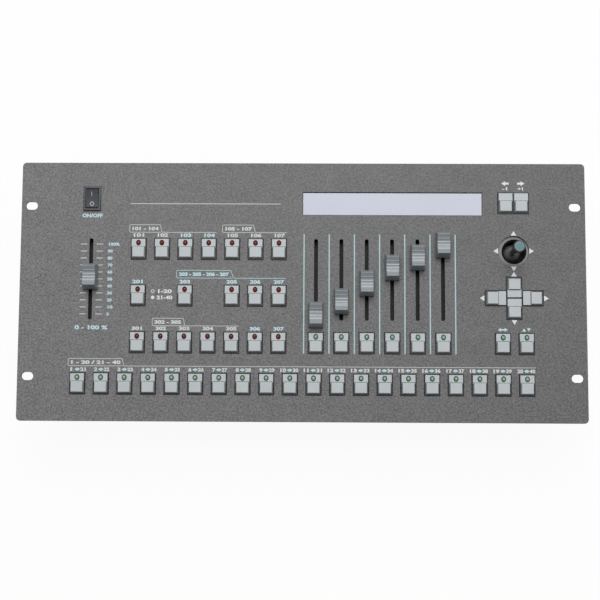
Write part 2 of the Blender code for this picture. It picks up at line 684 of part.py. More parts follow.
def make_low_key_strips(surface, cap):
    """The low row as two strips, each of ten caps joined by a bar under the panel."""
    places = low_key_places()
    half = LOW_KEYS // 2
    for name, keys in (("low_keys_left", places[:half]), ("low_keys_right", places[half:])):
        middle = (keys[0][0] + keys[-1][0]) / 2

        def caps(bm):
            for x, _ in keys:
                copy = bmesh.new()
                copy.from_mesh(cap)
                bmesh.ops.translate(copy, vec=(x - middle, 0, 0), verts=copy.verts)
                shifted = bpy.data.meshes.new("shifted_cap")
                copy.to_mesh(shifted)
                copy.free()
                bm.from_mesh(shifted)
                bpy.data.meshes.remove(shifted)

        def posts(bm):
            for x, _ in keys:
                add_box(
                    bm,
                    (x - middle - POST_WIDTH / 2, -HINGE_Y - BAR_WIDTH / 2, BAR_TOP - BAR_HEIGHT / 2 - LEDGE_BOTTOM),
                    (x - middle + POST_WIDTH / 2, -HINGE_Y + BAR_WIDTH / 2, -LEDGE_BOTTOM),
                )

        def bar(bm):
            reach = (keys[-1][0] - keys[0][0] + POST_WIDTH) / 2 + GAP
            add_box(
                bm,
                (-reach, -HINGE_Y - BAR_WIDTH / 2 + GAP, BAR_TOP - BAR_HEIGHT - LEDGE_BOTTOM),
                (reach, -HINGE_Y + BAR_WIDTH / 2 - GAP, BAR_TOP - LEDGE_BOTTOM),
            )

        strip = new_piece(name, surface, caps, (middle, LOW_ROW_Y + HINGE_Y, PANEL_TOP + LEDGE_BOTTOM))
        combine(strip, "UNION", posts)
        combine(strip, "UNION", bar)


def dish_height(y):
    """The arc of the cap's dished top, above the panel."""
    half = DISH_LENGTH / 2
    radius = (half ** 2 + DISH_DEPTH ** 2) / (2 * DISH_DEPTH)
    return FADER_CAP_HEIGHT - DISH_DEPTH + radius - math.sqrt(radius ** 2 - y ** 2)


def fader_outline():
    """The cap's side view (y, z) above the panel: a dished top with four ribs across it."""
    half = [
        (FADER_CAP_LENGTH / 2, FADER_CAP_LIFT),
        (FADER_CAP_LENGTH / 2, FADER_CAP_LIFT + FADER_CAP_SKIRT),
        (FADER_CAP_TOP_LENGTH / 2, FADER_CAP_HEIGHT),
        (DISH_LENGTH / 2, FADER_CAP_HEIGHT),
    ]
    for rib in (1.5 * RIB_PITCH, RIB_PITCH / 2):
        crest = dish_height(rib) + RIB_HEIGHT
        half.append((rib + RIB_LENGTH / 2, dish_height(rib + RIB_LENGTH / 2)))
        half.append((rib + RIB_TOP_LENGTH / 2, crest))
        half.append((rib - RIB_TOP_LENGTH / 2, crest))
        half.append((rib - RIB_LENGTH / 2, dish_height(rib - RIB_LENGTH / 2)))
    return half + [(-y, z) for y, z in reversed(half)]


def fader_mesh(surface):
    """A cap with its stem and the carriage that runs in the body."""
    foot = POT_FLOOR + GAP - POT_HEIGHT - PANEL_THICKNESS - GAP

    def cap(bm):
        add_prism(bm, fader_outline(), -1, 1, "X")
        flare = (FADER_CAP_WIDTH - FADER_CAP_TOP_WIDTH) / (FADER_CAP_HEIGHT - FADER_CAP_LIFT)
        for vertex in bm.verts:
            vertex.co.x *= (FADER_CAP_WIDTH - flare * (vertex.co.z - FADER_CAP_LIFT)) / 2

    def stem(bm):
        add_box(
            bm,
            (-STEM_WIDTH / 2, -STEM_LENGTH / 2, foot + CARRIAGE_HEIGHT / 2),
            (STEM_WIDTH / 2, STEM_LENGTH / 2, FADER_CAP_LIFT + FADER_CAP_SKIRT),
        )

    def carriage(bm):
        half = POT_WIDTH / 2 - POT_WALL - GAP
        add_box(
            bm,
            (-half, -CARRIAGE_LENGTH / 2, foot),
            (half, CARRIAGE_LENGTH / 2, foot + CARRIAGE_HEIGHT),
        )

    fader = new_piece("fader_cap", surface, cap)
    combine(fader, "UNION", stem)
    combine(fader, "UNION", carriage)
    return settled_mesh(fader)


def make_fader_caps(surface):
    shape = fader_mesh(surface)
    places = [("master_fader_cap", LEFT_X, MASTER_REST)]
    places += [(f"fader_cap_{n}", x, rest) for n, (x, rest) in enumerate(zip(FADERS_X, FADER_RESTS), 1)]
    for name, x, rest in places:
        cap = bpy.data.objects.new(name, shape)
        cap.location = (x, SLOT_MIDDLE_Y + rest, PANEL_TOP)
        bpy.context.scene.collection.objects.link(cap)


def make_fader_bodies(surface):
    """Channels under the slots: one alone, and six on a common board."""
    top = PANEL_BOTTOM - GAP
    bottom = top - POT_HEIGHT
    front = SLOT_FRONT_Y - POT_END
    rear = SLOT_REAR_Y + POT_END
    inner = POT_WIDTH / 2 - POT_WALL

    def channels(places):
        def draw(bm):
            for x in places:
                add_box(
                    bm,
                    (x - inner, front + POT_WALL, bottom + POT_FLOOR),
                    (x + inner, rear - POT_WALL, top + GAP),
                )
        return draw

    def one_body(bm):
        add_box(bm, (LEFT_X - POT_WIDTH / 2, front, bottom), (LEFT_X + POT_WIDTH / 2, rear, top))

    def bank_board(bm):
        reach = POT_WIDTH / 2 + POT_END
        add_box(
            bm,
            (FADERS_X[0] - reach, front, bottom - BOARD_THICKNESS),
            (FADERS_X[-1] + reach, rear, bottom),
        )

    def bank_bodies(bm):
        for x in FADERS_X:
            add_box(
                bm,
                (x - POT_WIDTH / 2, front + GAP, bottom - BOARD_THICKNESS / 2),
                (x + POT_WIDTH / 2, rear - GAP, top),
            )

    master = new_piece("master_fader_body", surface, one_body)
    combine(master, "DIFFERENCE", channels([LEFT_X]))
    bank = new_piece("fader_bank", surface, bank_board)
    combine(bank, "UNION", bank_bodies)
    combine(bank, "DIFFERENCE", channels(FADERS_X))


def make_display(window_surface, module_surface):
    """A stepped window held behind the panel, and the module under it."""
    x = (DISPLAY_LEFT_X + DISPLAY_RIGHT_X) / 2
    y = (DISPLAY_FRONT_Y + DISPLAY_REAR_Y) / 2
    half_x = DISPLAY_WIDTH / 2
    half_y = DISPLAY_LENGTH / 2
    rim_top = -PANEL_THICKNESS - GAP
    rim_bottom = rim_top - WINDOW_RIM_THICKNESS

    def pane(bm):
        add_box(bm, (-half_x, -half_y, rim_bottom + GAP), (half_x, half_y, -WINDOW_SINK))

    def rim(bm):
        add_box(
            bm,
            (-half_x - WINDOW_RIM, -half_y - WINDOW_RIM, rim_bottom),
            (half_x + WINDOW_RIM, half_y + WINDOW_RIM, rim_top),
        )

    def module(bm):
        add_box(
            bm,
            (-half_x - MODULE_RIM, -half_y - MODULE_RIM, rim_bottom - GAP - MODULE_HEIGHT),
            (half_x + MODULE_RIM, half_y + MODULE_RIM, rim_bottom - GAP),
        )

    window = new_piece("display_window", window_surface, pane, (x, y, PANEL_TOP))
    combine(window, "UNION", rim)
    new_piece("display_module", module_surface, module, (x, y, PANEL_TOP))


def rocker_outline():
    """The rocker's side view (y, z) about its axis, with both ends on one arc and a shallow V on top."""
    reach = SWITCH_LENGTH / 2 - BEZEL_WALL - ROCKER_CLEARANCE
    rise = GAP + BEZEL_HEIGHT + ROCKER_AXIS_DEPTH
    corner = math.asin(rise / reach) + ROCKER_TILT
    valley = reach * math.sin(corner) - reach * math.cos(corner) * math.tan(ROCKER_TILT)
    lowest = -math.asin(ROCKER_DEPTH / reach)
    steps = 4
    arc = [lowest + (corner - lowest) * n / steps for n in range(steps + 1)]
    right = [(reach * math.cos(a), reach * math.sin(a)) for a in arc]
    left = [(-y, z) for y, z in reversed(right)]
    return right + [(0, valley)] + left


def make_switch(housing_surface, rocker_surface):
    half_x = SWITCH_WIDTH / 2
    half_y = SWITCH_LENGTH / 2
    body_x = half_x - SWITCH_INSET
    body_y = half_y - SWITCH_INSET
    bezel_top = GAP + BEZEL_HEIGHT
    well = ROCKER_AXIS_DEPTH + SWITCH_LENGTH / 2

    def bezel(bm):
        add_box(bm, (-half_x, -half_y, GAP), (half_x, half_y, bezel_top))

    def body(bm):
        add_box(bm, (-body_x, -body_y, -SWITCH_BODY_DEPTH), (body_x, body_y, GAP + BEZEL_HEIGHT / 2))

    def terminals(bm):
        for side in (-1, 1):
            middle = side * TERMINAL_PITCH / 2
            add_box(
                bm,
                (-TERMINAL_WIDTH / 2, middle - TERMINAL_THICKNESS / 2, -SWITCH_BODY_DEPTH - TERMINAL_LENGTH),
                (TERMINAL_WIDTH / 2, middle + TERMINAL_THICKNESS / 2, GAP - SWITCH_BODY_DEPTH),
            )

    def rocker_well(bm):
        add_box(
            bm,
            (BEZEL_WALL - half_x, BEZEL_WALL - half_y, -well),
            (half_x - BEZEL_WALL, half_y - BEZEL_WALL, bezel_top + GAP),
        )

    def rocker(bm):
        width = half_x - BEZEL_WALL - ROCKER_CLEARANCE
        add_prism(bm, rocker_outline(), -width, width, "X")

    place = (LEFT_X, SWITCH_Y, PANEL_TOP)
    housing = new_piece("switch_housing", housing_surface, bezel, place)
    combine(housing, "UNION", body)
    combine(housing, "UNION", terminals)
    combine(housing, "DIFFERENCE", rocker_well)
    piece = new_piece("power_rocker", rocker_surface, rocker, (LEFT_X, SWITCH_Y, PANEL_TOP - ROCKER_AXIS_DEPTH))
    piece.rotation_euler = (ROCKER_TILT, 0, 0)


def make_joystick(ring_surface, base_surface, metal, knob_surface):
    """Ring and base behind the panel, and a ball held in a gimbal: the yoke tilts about X, the stick about Y."""
    centre = (RIGHT_X, JOYSTICK_Y, PANEL_TOP)
    pivot = (RIGHT_X, JOYSTICK_Y, PANEL_TOP - PIVOT_DEPTH)
    ring_top = -PANEL_THICKNESS - GAP
    base_top = ring_top - RING_THICKNESS - GAP
    floor_bottom = -JOYSTICK_FLOOR - JOYSTICK_FLOOR_THICKNESS
    drop = PIVOT_DEPTH + floor_bottom
    floor_hole = math.sqrt(BALL_RADIUS ** 2 - drop ** 2) + GAP
    pin_reach = YOKE_OUTER - YOKE_WALL / 4
    pin_hole = YOKE_PIN_RADIUS + GAP

    def ring(bm):
        outer = HOLE_RADIUS + RING_LAP
        add_turned(bm, [
            (MOUTH_RADIUS, ring_top - RING_THICKNESS), (outer, ring_top - RING_THICKNESS), (outer, ring_top),
            (MOUTH_RADIUS + RING_BEVEL, ring_top), (MOUTH_RADIUS, ring_top - RING_BEVEL),
        ])

    def base_block(bm):
        half = JOYSTICK_HALF
        add_box(bm, (-half, -half, -JOYSTICK_BODY_DEPTH), (half, half, base_top))

    def base_hollows(bm):
        add_turned(bm, [
            (0, base_top + GAP), (0, -JOYSTICK_BODY_DEPTH - GAP), (CAVITY_RADIUS, -JOYSTICK_BODY_DEPTH - GAP),
            (CAVITY_RADIUS, floor_bottom), (floor_hole, floor_bottom), (floor_hole, -JOYSTICK_FLOOR),
            (MOUTH_RADIUS, -JOYSTICK_FLOOR), (MOUTH_RADIUS, base_top + GAP),
        ])

    def base_pin_holes(bm):
        reach = JOYSTICK_HALF - JOYSTICK_WALL / 3
        add_rod(bm, pin_hole, -reach, reach, (0, 0, -PIVOT_DEPTH), PIN_SIDES, "X")

    def yoke_ring(bm):
        half = YOKE_HEIGHT / 2
        add_turned(bm, [(YOKE_INNER, -half), (YOKE_OUTER, -half), (YOKE_OUTER, half), (YOKE_INNER, half)])

    def yoke_pins(bm):
        start = YOKE_INNER + YOKE_WALL / 2
        end = JOYSTICK_HALF - JOYSTICK_WALL / 2
        for low, high in ((-end, -start), (start, end)):
            add_rod(bm, YOKE_PIN_RADIUS, low, high, (0, 0, 0), PIN_SIDES, "X")

    def yoke_holes(bm):
        add_rod(bm, pin_hole, -YOKE_OUTER - GAP, YOKE_OUTER + GAP, (0, 0, 0), PIN_SIDES, "Y")

    def ball(bm):
        steps = 10
        angles = [math.pi * n / steps - math.pi / 2 for n in range(steps + 1)]
        arc = [(BALL_RADIUS * math.cos(a), BALL_RADIUS * math.sin(a)) for a in angles[1:-1]]
        add_turned(bm, [(0, -BALL_RADIUS), *arc, (0, BALL_RADIUS)], sides=20)

    def shaft(bm):
        top = PIVOT_DEPTH + KNOB_FOOT + KNOB_SOCKET - GAP
        add_rod(bm, STICK_RADIUS, BALL_RADIUS / 2, top, (0, 0, 0), 10)

    def ball_pins(bm):
        add_rod(bm, YOKE_PIN_RADIUS, -pin_reach, pin_reach, (0, 0, 0), PIN_SIDES, "Y")

    def knob(bm):
        foot = PIVOT_DEPTH + KNOB_FOOT
        top = PIVOT_DEPTH + KNOB_TOP
        socket = STICK_RADIUS + GAP
        add_turned(bm, [
            (socket, foot), (KNOB_FOOT_RADIUS, foot), (KNOB_RADIUS, top - (top - foot) / 3),
            (KNOB_RADIUS, top - KNOB_BEVEL), (KNOB_RADIUS - KNOB_BEVEL, top), (0, top),
            (0, foot + KNOB_SOCKET), (socket, foot + KNOB_SOCKET),
        ], sides=16)

    new_piece("joystick_ring", ring_surface, ring, centre, smooth=True)
    base = new_piece("joystick_base", base_surface, base_block, centre)
    combine(base, "DIFFERENCE", base_hollows)
    combine(base, "DIFFERENCE", base_pin_holes)
    yoke = new_piece("joystick_yoke", metal, yoke_ring, pivot, smooth=True)
    combine(yoke, "UNION", yoke_pins)
    combine(yoke, "DIFFERENCE", yoke_holes)
    stick = new_piece("joystick_stick", base_surface, ball, pivot, smooth=True)
    combine(stick, "UNION", shaft)
    combine(stick, "UNION", ball_pins)
    new_piece("joystick_knob", knob_surface, knob, pivot, smooth=True)


def make_main_board(surface):
    half_x = MAIN_BOARD_WIDTH / 2
    half_y = MAIN_BOARD_LENGTH / 2

    def plate(bm):
        add_box(bm, (-half_x, -half_y, 0), (half_x, half_y, BOARD_THICKNESS))

    def fittings(bm):
        for sx in (-1, 1):
            for sy in (-1, 1):
                corner = (sx * (half_x - STANDOFF_INSET), sy * (half_y - STANDOFF_INSET), 0)
                add_rod(bm, STANDOFF_RADIUS, -STANDOFF_HEIGHT, BOARD_THICKNESS / 2, corner)
        for (width, length, height), (x, y) in zip(CHIP_SIZES, CHIP_PLACES):
            add_box(
                bm,
                (x - width / 2, y - length / 2, BOARD_THICKNESS / 2),
                (x + width / 2, y + length / 2, BOARD_THICKNESS + height),
            )

    floor = SHEET + GAP + STANDOFF_HEIGHT
    combine(new_piece("main_board", surface, plate, (MAIN_BOARD_X, 0, floor)), "UNION", fittings)


def make_transformer(surface):
    def foot(bm):
        x, y, z = FOOT_PLATE
        add_box(bm, (-x / 2, -y / 2, 0), (x / 2, y / 2, z))

    def core(bm):
        x, y, z = CORE_SIZE
        add_box(bm, (-x / 2, GAP - y / 2, FOOT_PLATE[2] / 2), (x / 2, y / 2 - GAP, z))

    def coil(bm):
        x, y, z = COIL_SIZE
        low = (CORE_SIZE[2] - z) / 2
        add_box(bm, (-x / 2, -y / 2, low), (x / 2, y / 2, low + z))

    piece = new_piece("mains_transformer", surface, foot, (TRANSFORMER_X, 0, SHEET + GAP))
    combine(piece, "UNION", core)
    combine(piece, "UNION", coil)


def make_mains_inlet(surface):
    """A three-pole inlet whose flange lies on the rear wall's outside. Its recess opens to the rear."""
    half_x = INLET_WIDTH / 2
    half_z = INLET_HEIGHT / 2

    def body(bm):
        add_box(bm, (-half_x, -INLET_DEPTH, -half_z), (half_x, GAP + INLET_FLANGE / 2, half_z))

    def flange(bm):
        add_box(
            bm,
            (-half_x - INLET_RIM, GAP, -half_z - INLET_RIM),
            (half_x + INLET_RIM, GAP + INLET_FLANGE, half_z + INLET_RIM),
        )

    def recess(bm):
        add_box(
            bm,
            (INLET_WALL - half_x, GAP + INLET_FLANGE - INLET_RECESS, INLET_WALL - half_z),
            (half_x - INLET_WALL, 2 * GAP + INLET_FLANGE, half_z - INLET_WALL),
        )

    inlet = new_piece("mains_inlet", surface, body, (INLET_X, CASE_LENGTH / 2, CASE_HEIGHT / 2))
    combine(inlet, "UNION", flange)
    combine(inlet, "DIFFERENCE", recess)


def make_data_socket(surface):
    """A round socket on a square plate, with the annular groove that takes a plug's sleeve."""
    half_x = SOCKET_PLATE_WIDTH / 2
    half_z = SOCKET_PLATE_HEIGHT / 2
    face = GAP + SOCKET_PLATE

    def plate(bm):
        add_box(bm, (-half_x, GAP, -half_z), (half_x, face, half_z))

    def barrel(bm):
        add_rod(bm, SOCKET_RADIUS, -SOCKET_DEPTH, GAP + SOCKET_PLATE / 2, (0, 0, 0), ROUND_SIDES, "Y")

    def groove(bm):
        add_turned(bm, [
            (SOCKET_GROOVE_INNER, face - SOCKET_GROOVE), (SOCKET_GROOVE_OUTER, face - SOCKET_GROOVE),
            (SOCKET_GROOVE_OUTER, face + GAP), (SOCKET_GROOVE_INNER, face + GAP),
        ], axis="Y")

    socket = new_piece("data_socket", surface, plate, (SOCKET_X, CASE_LENGTH / 2, CASE_HEIGHT / 2))
    combine(socket, "UNION", barrel)
    combine(socket, "DIFFERENCE", groove)


def make_console():
    panel_coat = material("panel_coat", (0.155, 0.150, 0.146), 0.75)
    case_coat = material("case_coat", (0.060, 0.060, 0.062), 0.60)
    black_plastic = material("black_plastic", (0.020, 0.020, 0.022), 0.45)
    key_plastic = material("key_plastic", (0.560, 0.575, 0.590), 0.50)
    fader_plastic = material("fader_plastic", (0.400, 0.430, 0.450), 0.50)
    ring_plastic = material("ring_plastic", (0.300, 0.300, 0.300), 0.45)
    gaiter = material("gaiter", (0.120, 0.120, 0.122), 0.80)
    window_plastic = material("window_plastic", (0.610, 0.620, 0.720), 0.30)
    board_green = material("board_green", (0.030, 0.110, 0.055), 0.55)
    module_board = material("module_board", (0.030, 0.070, 0.045), 0.55)
    steel = material("steel", (0.500, 0.500, 0.510), 0.35, 1.0)
    nickel = material("nickel", (0.600, 0.590, 0.570), 0.30, 1.0)

    make_front_panel(panel_coat)
    make_case(case_coat)
    make_key_board(black_plastic)
    low_cap = make_keys(key_plastic)
    make_low_key_strips(key_plastic, low_cap)
    make_fader_bodies(steel)
    make_fader_caps(fader_plastic)
    make_display(window_plastic, module_board)
    make_switch(black_plastic, black_plastic)
    make_joystick(ring_plastic, gaiter, steel, black_plastic)
    make_main_board(board_green)
    make_transformer(steel)
    make_mains_inlet(black_plastic)
    make_data_socket(nickel)


for old in list(bpy.data.objects):
    bpy.data.objects.remove(old)
make_console()
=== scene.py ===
"""The looks of the lighting control console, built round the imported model."""

import math

import bmesh
import bpy
from mathutils import Matrix, Vector


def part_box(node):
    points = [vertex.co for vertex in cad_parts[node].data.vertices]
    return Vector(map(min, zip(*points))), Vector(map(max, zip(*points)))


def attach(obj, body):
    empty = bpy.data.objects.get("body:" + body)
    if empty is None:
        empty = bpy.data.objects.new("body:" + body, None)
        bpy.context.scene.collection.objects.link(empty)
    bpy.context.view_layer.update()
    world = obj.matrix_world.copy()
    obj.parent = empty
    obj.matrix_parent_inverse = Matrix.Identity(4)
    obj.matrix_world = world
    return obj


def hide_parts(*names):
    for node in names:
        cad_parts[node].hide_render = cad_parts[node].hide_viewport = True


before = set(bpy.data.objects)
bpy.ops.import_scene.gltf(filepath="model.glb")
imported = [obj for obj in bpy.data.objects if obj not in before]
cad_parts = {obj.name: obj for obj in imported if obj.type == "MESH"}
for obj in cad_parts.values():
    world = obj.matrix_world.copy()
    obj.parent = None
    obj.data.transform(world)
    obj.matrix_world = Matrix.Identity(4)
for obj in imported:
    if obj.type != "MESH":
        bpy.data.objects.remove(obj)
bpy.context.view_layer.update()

# Shapes are drawn in millimetres and scaled once, when a mesh is made.
MM = 0.001

# The camera, solved from the panel's corners and rows of keys
IMAGE_WIDTH = 600
FOCAL_PIXELS = 1175.373
CAMERA_TURN = (-5.563, -0.713, -0.243)
CAMERA_SHIFT = (1.835, 7.304, -1000.0)
SENSOR_WIDTH = 36.0

# The panel, from its node
PANEL_LOW, PANEL_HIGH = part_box("front_panel")
PANEL_TOP = PANEL_HIGH.z
HALF_WIDTH = PANEL_HIGH.x / MM
HALF_LENGTH = PANEL_HIGH.y / MM
PANEL_THICKNESS = (PANEL_HIGH.z - PANEL_LOW.z) / MM
PANEL_CORNER = 3.5
PANEL_EDGE = 0.25
RACK_SLOT = (10.0, 6.8)
RACK_SLOT_X = HALF_WIDTH - 8.74
RACK_SLOT_Y = 73.025
GAP = 0.3

# One key, from its frame's centre, heights above the panel
KEY_WIDTH = 13.0
KEY_LENGTH = 18.0
FRAME_WALL = 0.6
FRAME_FRONT_WALL = 0.8
FRAME_TOP = 0.6
FRAME_FOOT = -8.5
WELL_FLOOR = -3.4
LEDGE_FRONT = 1.9
LEDGE_BACK = 8.7
LEDGE_ROUNDED_BACK = 8.5
LEDGE_HALF = 5.9
LEDGE_LOW = 1.2
LEDGE_HIGH = 1.8
GROOVE_REAR = 2.25
GROOVE_DEPTH = 0.5
BLOCK_HALF = 5.6
BLOCK_FRONT = -7.9
BLOCK_FOOT = -1.6
BLOCK_SHOULDER = 0.9
BLOCK_TOP = 3.6
BLOCK_SIDE_SLOPE = 0.75
BLOCK_FRONT_SLOPE = 0.95
BLOCK_REAR_SLOPE = 0.2
LAMP_Y = 5.2
LAMP_RADIUS = 1.8
LAMP_HOLE = 2.1
LAMP_STRETCH = 1.18
LAMP_TOP = 3.0
BOARD_THICKNESS = 1.6
BAR_THICKNESS = 1.8

# A fader, from its cap's centre, heights above the panel
SLOT_WIDTH = 3.2
STEM_FOOT = -8.0
CARRIAGE_FOOT = -9.4
POT_HALF = 5.5
POT_END = 2.25
FADER_TOP = 12.0
FADER_FOOT = 1.0
FADER_HALF = 11.0
FADER_HALF_WIDTH = 6.2
FADER_FLARE = 0.95
DISH_HALF = 7.6
DISH_DEPTH = 2.4
RIB_PITCH = 2.75

# The display and the power switch, heights above the panel
DISPLAY_RIM = 3.0
PANE_TOP = -0.9
PANE_FOOT = -3.2
BEZEL_HALF_X = 7.5
BEZEL_HALF_Y = 10.5
BEZEL_TOP = 1.9
BEZEL_WALL = 1.8
SWITCH_FOOT = -20.0
SWITCH_WELL_FLOOR = -11.5
TAB_FOOT = -28.0
TAB_Y = 3.5
SWITCH_BODY_X = 6.5
SWITCH_BODY_Y = 9.5
ROCKER_TILT = math.radians(9)
ROCKER_RISE = 2.9
ROCKER_DROP = 4.5
ROCKER_AXIS = -1.0
ROCKER_REACH = BEZEL_HALF_Y - BEZEL_WALL - GAP
ROCKER_CORNER = math.asin(ROCKER_RISE / ROCKER_REACH) + ROCKER_TILT

# The joystick, heights above the panel
HOLE_RADIUS = 13.0
WELL_HALF = 15.7
MOUTH_RADIUS = 10.5
LIP_RADIUS = 8.9
RING_REACH = 14.2
RING_TOP = -2.3
RING_SHIFT = Vector((0.7 * MM, -0.3 * MM, 0.0))
GAITER_RADIUS = 8.6
# Below this height over the pivot the dome is painted black, as painted shade deep in the well.
GAITER_SHADE_TOP = 4.4
SHAFT_RADIUS = 1.9
SHAFT_TOP = 19.0
KNOB_FOOT = 10.0
KNOB_TOP = 29.5
KNOB_RADIUS = 5.0

# Printed marks
INK_DEPTH = 0.03
TICK_TOP = 40.0
TICK_STEP = 6.0
TICK_HALF = 0.35
TICK_SPANS = ((-9.0, -3.6), (4.6, 10.2))
SEPARATOR_X = 1.45
SEPARATOR_STEP = 21.47
SEPARATOR_SPAN = (-52.9, 49.2)
RULE_WIDTH = 0.5
NUMBER_RISE = 12.0
NUMBER_HEIGHT = 2.8
ARROW_SIZE = 3.9
PAGE_ARROW_RISE = 17.2

# The case and its connectors: half sizes, depths and radii
CASE_LOW, CASE_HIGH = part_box("case_tray")
CASE_SHEET = 1.5
CASE_FLANGE = 8.0
INLET_FLANGE = (15.5, 11.75)
INLET_BODY = (13.5, 9.75)
SOCKET_PLATE = (13.0, 15.5)
INLET_DEPTH = 24.0
SOCKET_DEPTH = 20.0
BARREL_RADIUS = 11.8
INSERT_RADIUS = 7.2
CONTACT_CIRCLE = 4.5
CONTACT_ANGLES = (30, 150, 210, 270, 330)

# Sides of round shapes
FINE_SIDES = 64
SMALL_SIDES = 24


def lift(x, y, z=0.0):
    """A point in millimetres from the panel's centre and face, as metres in the frame."""
    return Vector((x * MM, y * MM, PANEL_TOP + z * MM))


def middle(node):
    low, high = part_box(node)
    return (low + high) / 2


def corners_of(node):
    """The lowest and highest corner of a node, in millimetres."""
    return [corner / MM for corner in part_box(node)]


# Materials


def new_material(name):
    made = bpy.data.materials.new(name)
    made.use_nodes = True
    tree = made.node_tree
    return made, tree, tree.nodes["Principled BSDF"]


def feed(node, inputs):
    """Fills a node's inputs: another node's output is linked, and anything else is a constant."""
    for key, value in inputs.items():
        if isinstance(value, bpy.types.NodeSocket):
            node.id_data.links.new(value, node.inputs[key])
        else:
            node.inputs[key].default_value = value


def add_node(tree, kind, output, inputs=None, **settings):
    """Adds a node of a kind, such as Math, and returns one of its outputs."""
    node = tree.nodes.new("ShaderNode" + kind)
    for key, value in settings.items():
        setattr(node, key, value)
    feed(node, inputs or {})
    return node.outputs[output]


def coordinates(tree, kind="Object"):
    return add_node(tree, "TexCoord", kind)


def surface_point(tree):
    """Object coordinates, moved on each object so that copies don't look alike."""
    inputs = {0: add_node(tree, "ObjectInfo", "Random"), 1: (3.0, 5.0, 7.0), 2: coordinates(tree)}
    return add_node(tree, "VectorMath", 0, inputs, operation="MULTIPLY_ADD")


def noise(point, scale, detail=3.0, rough=0.55):
    inputs = {"Vector": point, "Scale": scale, "Detail": detail, "Roughness": rough}
    return add_node(point.id_data, "TexNoise", "Fac", inputs)


def ramp(value, *stops):
    """A value turned into a colour, between stops of (position, colour)."""
    colours = add_node(value.id_data, "ValToRGB", "Color", {"Fac": value})
    elements = colours.node.color_ramp.elements
    while len(elements) < len(stops):
        elements.new(0.5)
    for element, (position, colour) in zip(elements, stops):
        element.position = position
        element.color = (*colour, 1)
    return colours


def spread(value, low, high, start=0.3, end=0.7):
    """A value spread over a range. Noise lies mostly between 0.3 and 0.7."""
    inputs = {"Value": value, "From Min": start, "From Max": end, "To Min": low, "To Max": high}
    return add_node(value.id_data, "MapRange", "Result", inputs)


def weighted_sum(first, weight, second):
    inputs = {0: first, 1: weight, 2: second}
    return add_node(first.id_data, "Math", 0, inputs, operation="MULTIPLY_ADD")


def mixed_colour(factor, first, second, blend="MIX"):
    inputs = {"Factor": factor, "A": first, "B": second}
    return add_node(first.id_data, "Mix", "Result", inputs, data_type="RGBA", blend_type=blend)


def grid(tree, colours, line, width, height, offset):
    """Cells in two colours with lines of a third between them, measured in metres."""
    inputs = {key: (*colour, 1) for key, colour in zip(("Color1", "Color2", "Mortar"), colours)}
    inputs |= {"Vector": coordinates(tree), "Scale": 1.0}
    inputs |= {"Mortar Size": line, "Brick Width": width, "Row Height": height}
    return add_node(tree, "TexBrick", "Color", inputs, offset=offset)


def shade(colour, factor):
    return tuple(channel * factor for channel in colour)


def finish_shader(shader, colour, roughness, height=None, depth=0.0):
    """Colour and roughness on the shader and, where a height is given, fine relief."""
    feed(shader, {"Base Color": colour, "Roughness": roughness})
    if height is not None:
        inputs = {"Distance": depth, "Strength": 1.0, "Height": height}
        feed(shader, {"Normal": add_node(shader.id_data, "Bump", "Normal", inputs)})


def textured_coat(name, colour, grain, contrast, roughness, depth=0.0002, painted_light_fade=0.0):
    """Powder coat with light and dark specks; painted light can make it a little paler towards -X and darker
    towards +X.
    """
    made, tree, shader = new_material(name)
    point = surface_point(tree)
    specks = noise(point, 1 / grain, 4.0, 0.6)
    clouds = noise(point, 0.12 / grain, 2.0)
    dark, light = shade(colour, 1 - contrast), shade(colour, 1 + contrast)
    coat = ramp(weighted_sum(clouds, 0.10, specks), (0.36, dark), (0.56, colour), (0.76, light))
    # Painted light: the coat is scaled paler towards -X and darker towards +X, as a fall of light across the
    # panel.
    along = add_node(tree, "SeparateXYZ", "X", {0: coordinates(tree)})
    reach = 0.24
    inputs = {0: coat, "Scale": spread(along, 1 + painted_light_fade, 1 - painted_light_fade, -reach, reach)}
    painted_light_coat = add_node(tree, "VectorMath", 0, inputs, operation="SCALE")
    finish_shader(shader, painted_light_coat, spread(specks, roughness - 0.08, roughness + 0.08), specks, depth)
    return made


def moulded(name, colour, roughness, mottle=0.05, grain=0.0005, depth=0.00002, gloss=0.5):
    """Moulded plastic, with a fine grain and slightly uneven colour and gloss."""
    made, tree, shader = new_material(name)
    feed(shader, {"Specular IOR Level": gloss})
    point = surface_point(tree)
    clouds = noise(point, 90.0)
    fine = noise(point, 1 / grain, 2.0)
    body = ramp(clouds, (0.30, shade(colour, 1 - mottle)), (0.70, shade(colour, 1 + mottle)))
    finish_shader(shader, body, spread(clouds, roughness - 0.06, roughness + 0.06), fine, depth)
    return made


def handled_plastic(name, colour, roughness, worn):
    """Moulded plastic that fingers have polished: paler along its edges."""
    made, tree, shader = new_material(name)
    point = surface_point(tree)
    clouds = noise(point, 120.0, 4.0)
    fine = noise(point, 3000.0, 2.0)
    body = ramp(clouds, (0.30, shade(colour, 0.95)), (0.70, shade(colour, 1.04)))
    rounded = add_node(tree, "Bevel", "Normal", {"Radius": 0.0003}, samples=4)
    true = add_node(tree, "NewGeometry", "Normal")
    along = add_node(tree, "VectorMath", "Value", {0: rounded, 1: true}, operation="DOT_PRODUCT")
    edges = ramp(along, (0.86, (1, 1, 1)), (0.99, (0, 0, 0)))
    colours = mixed_colour(edges, body, (*worn, 1))
    finish_shader(shader, colours, spread(clouds, roughness - 0.08, roughness + 0.05), fine, 0.00002)
    return made


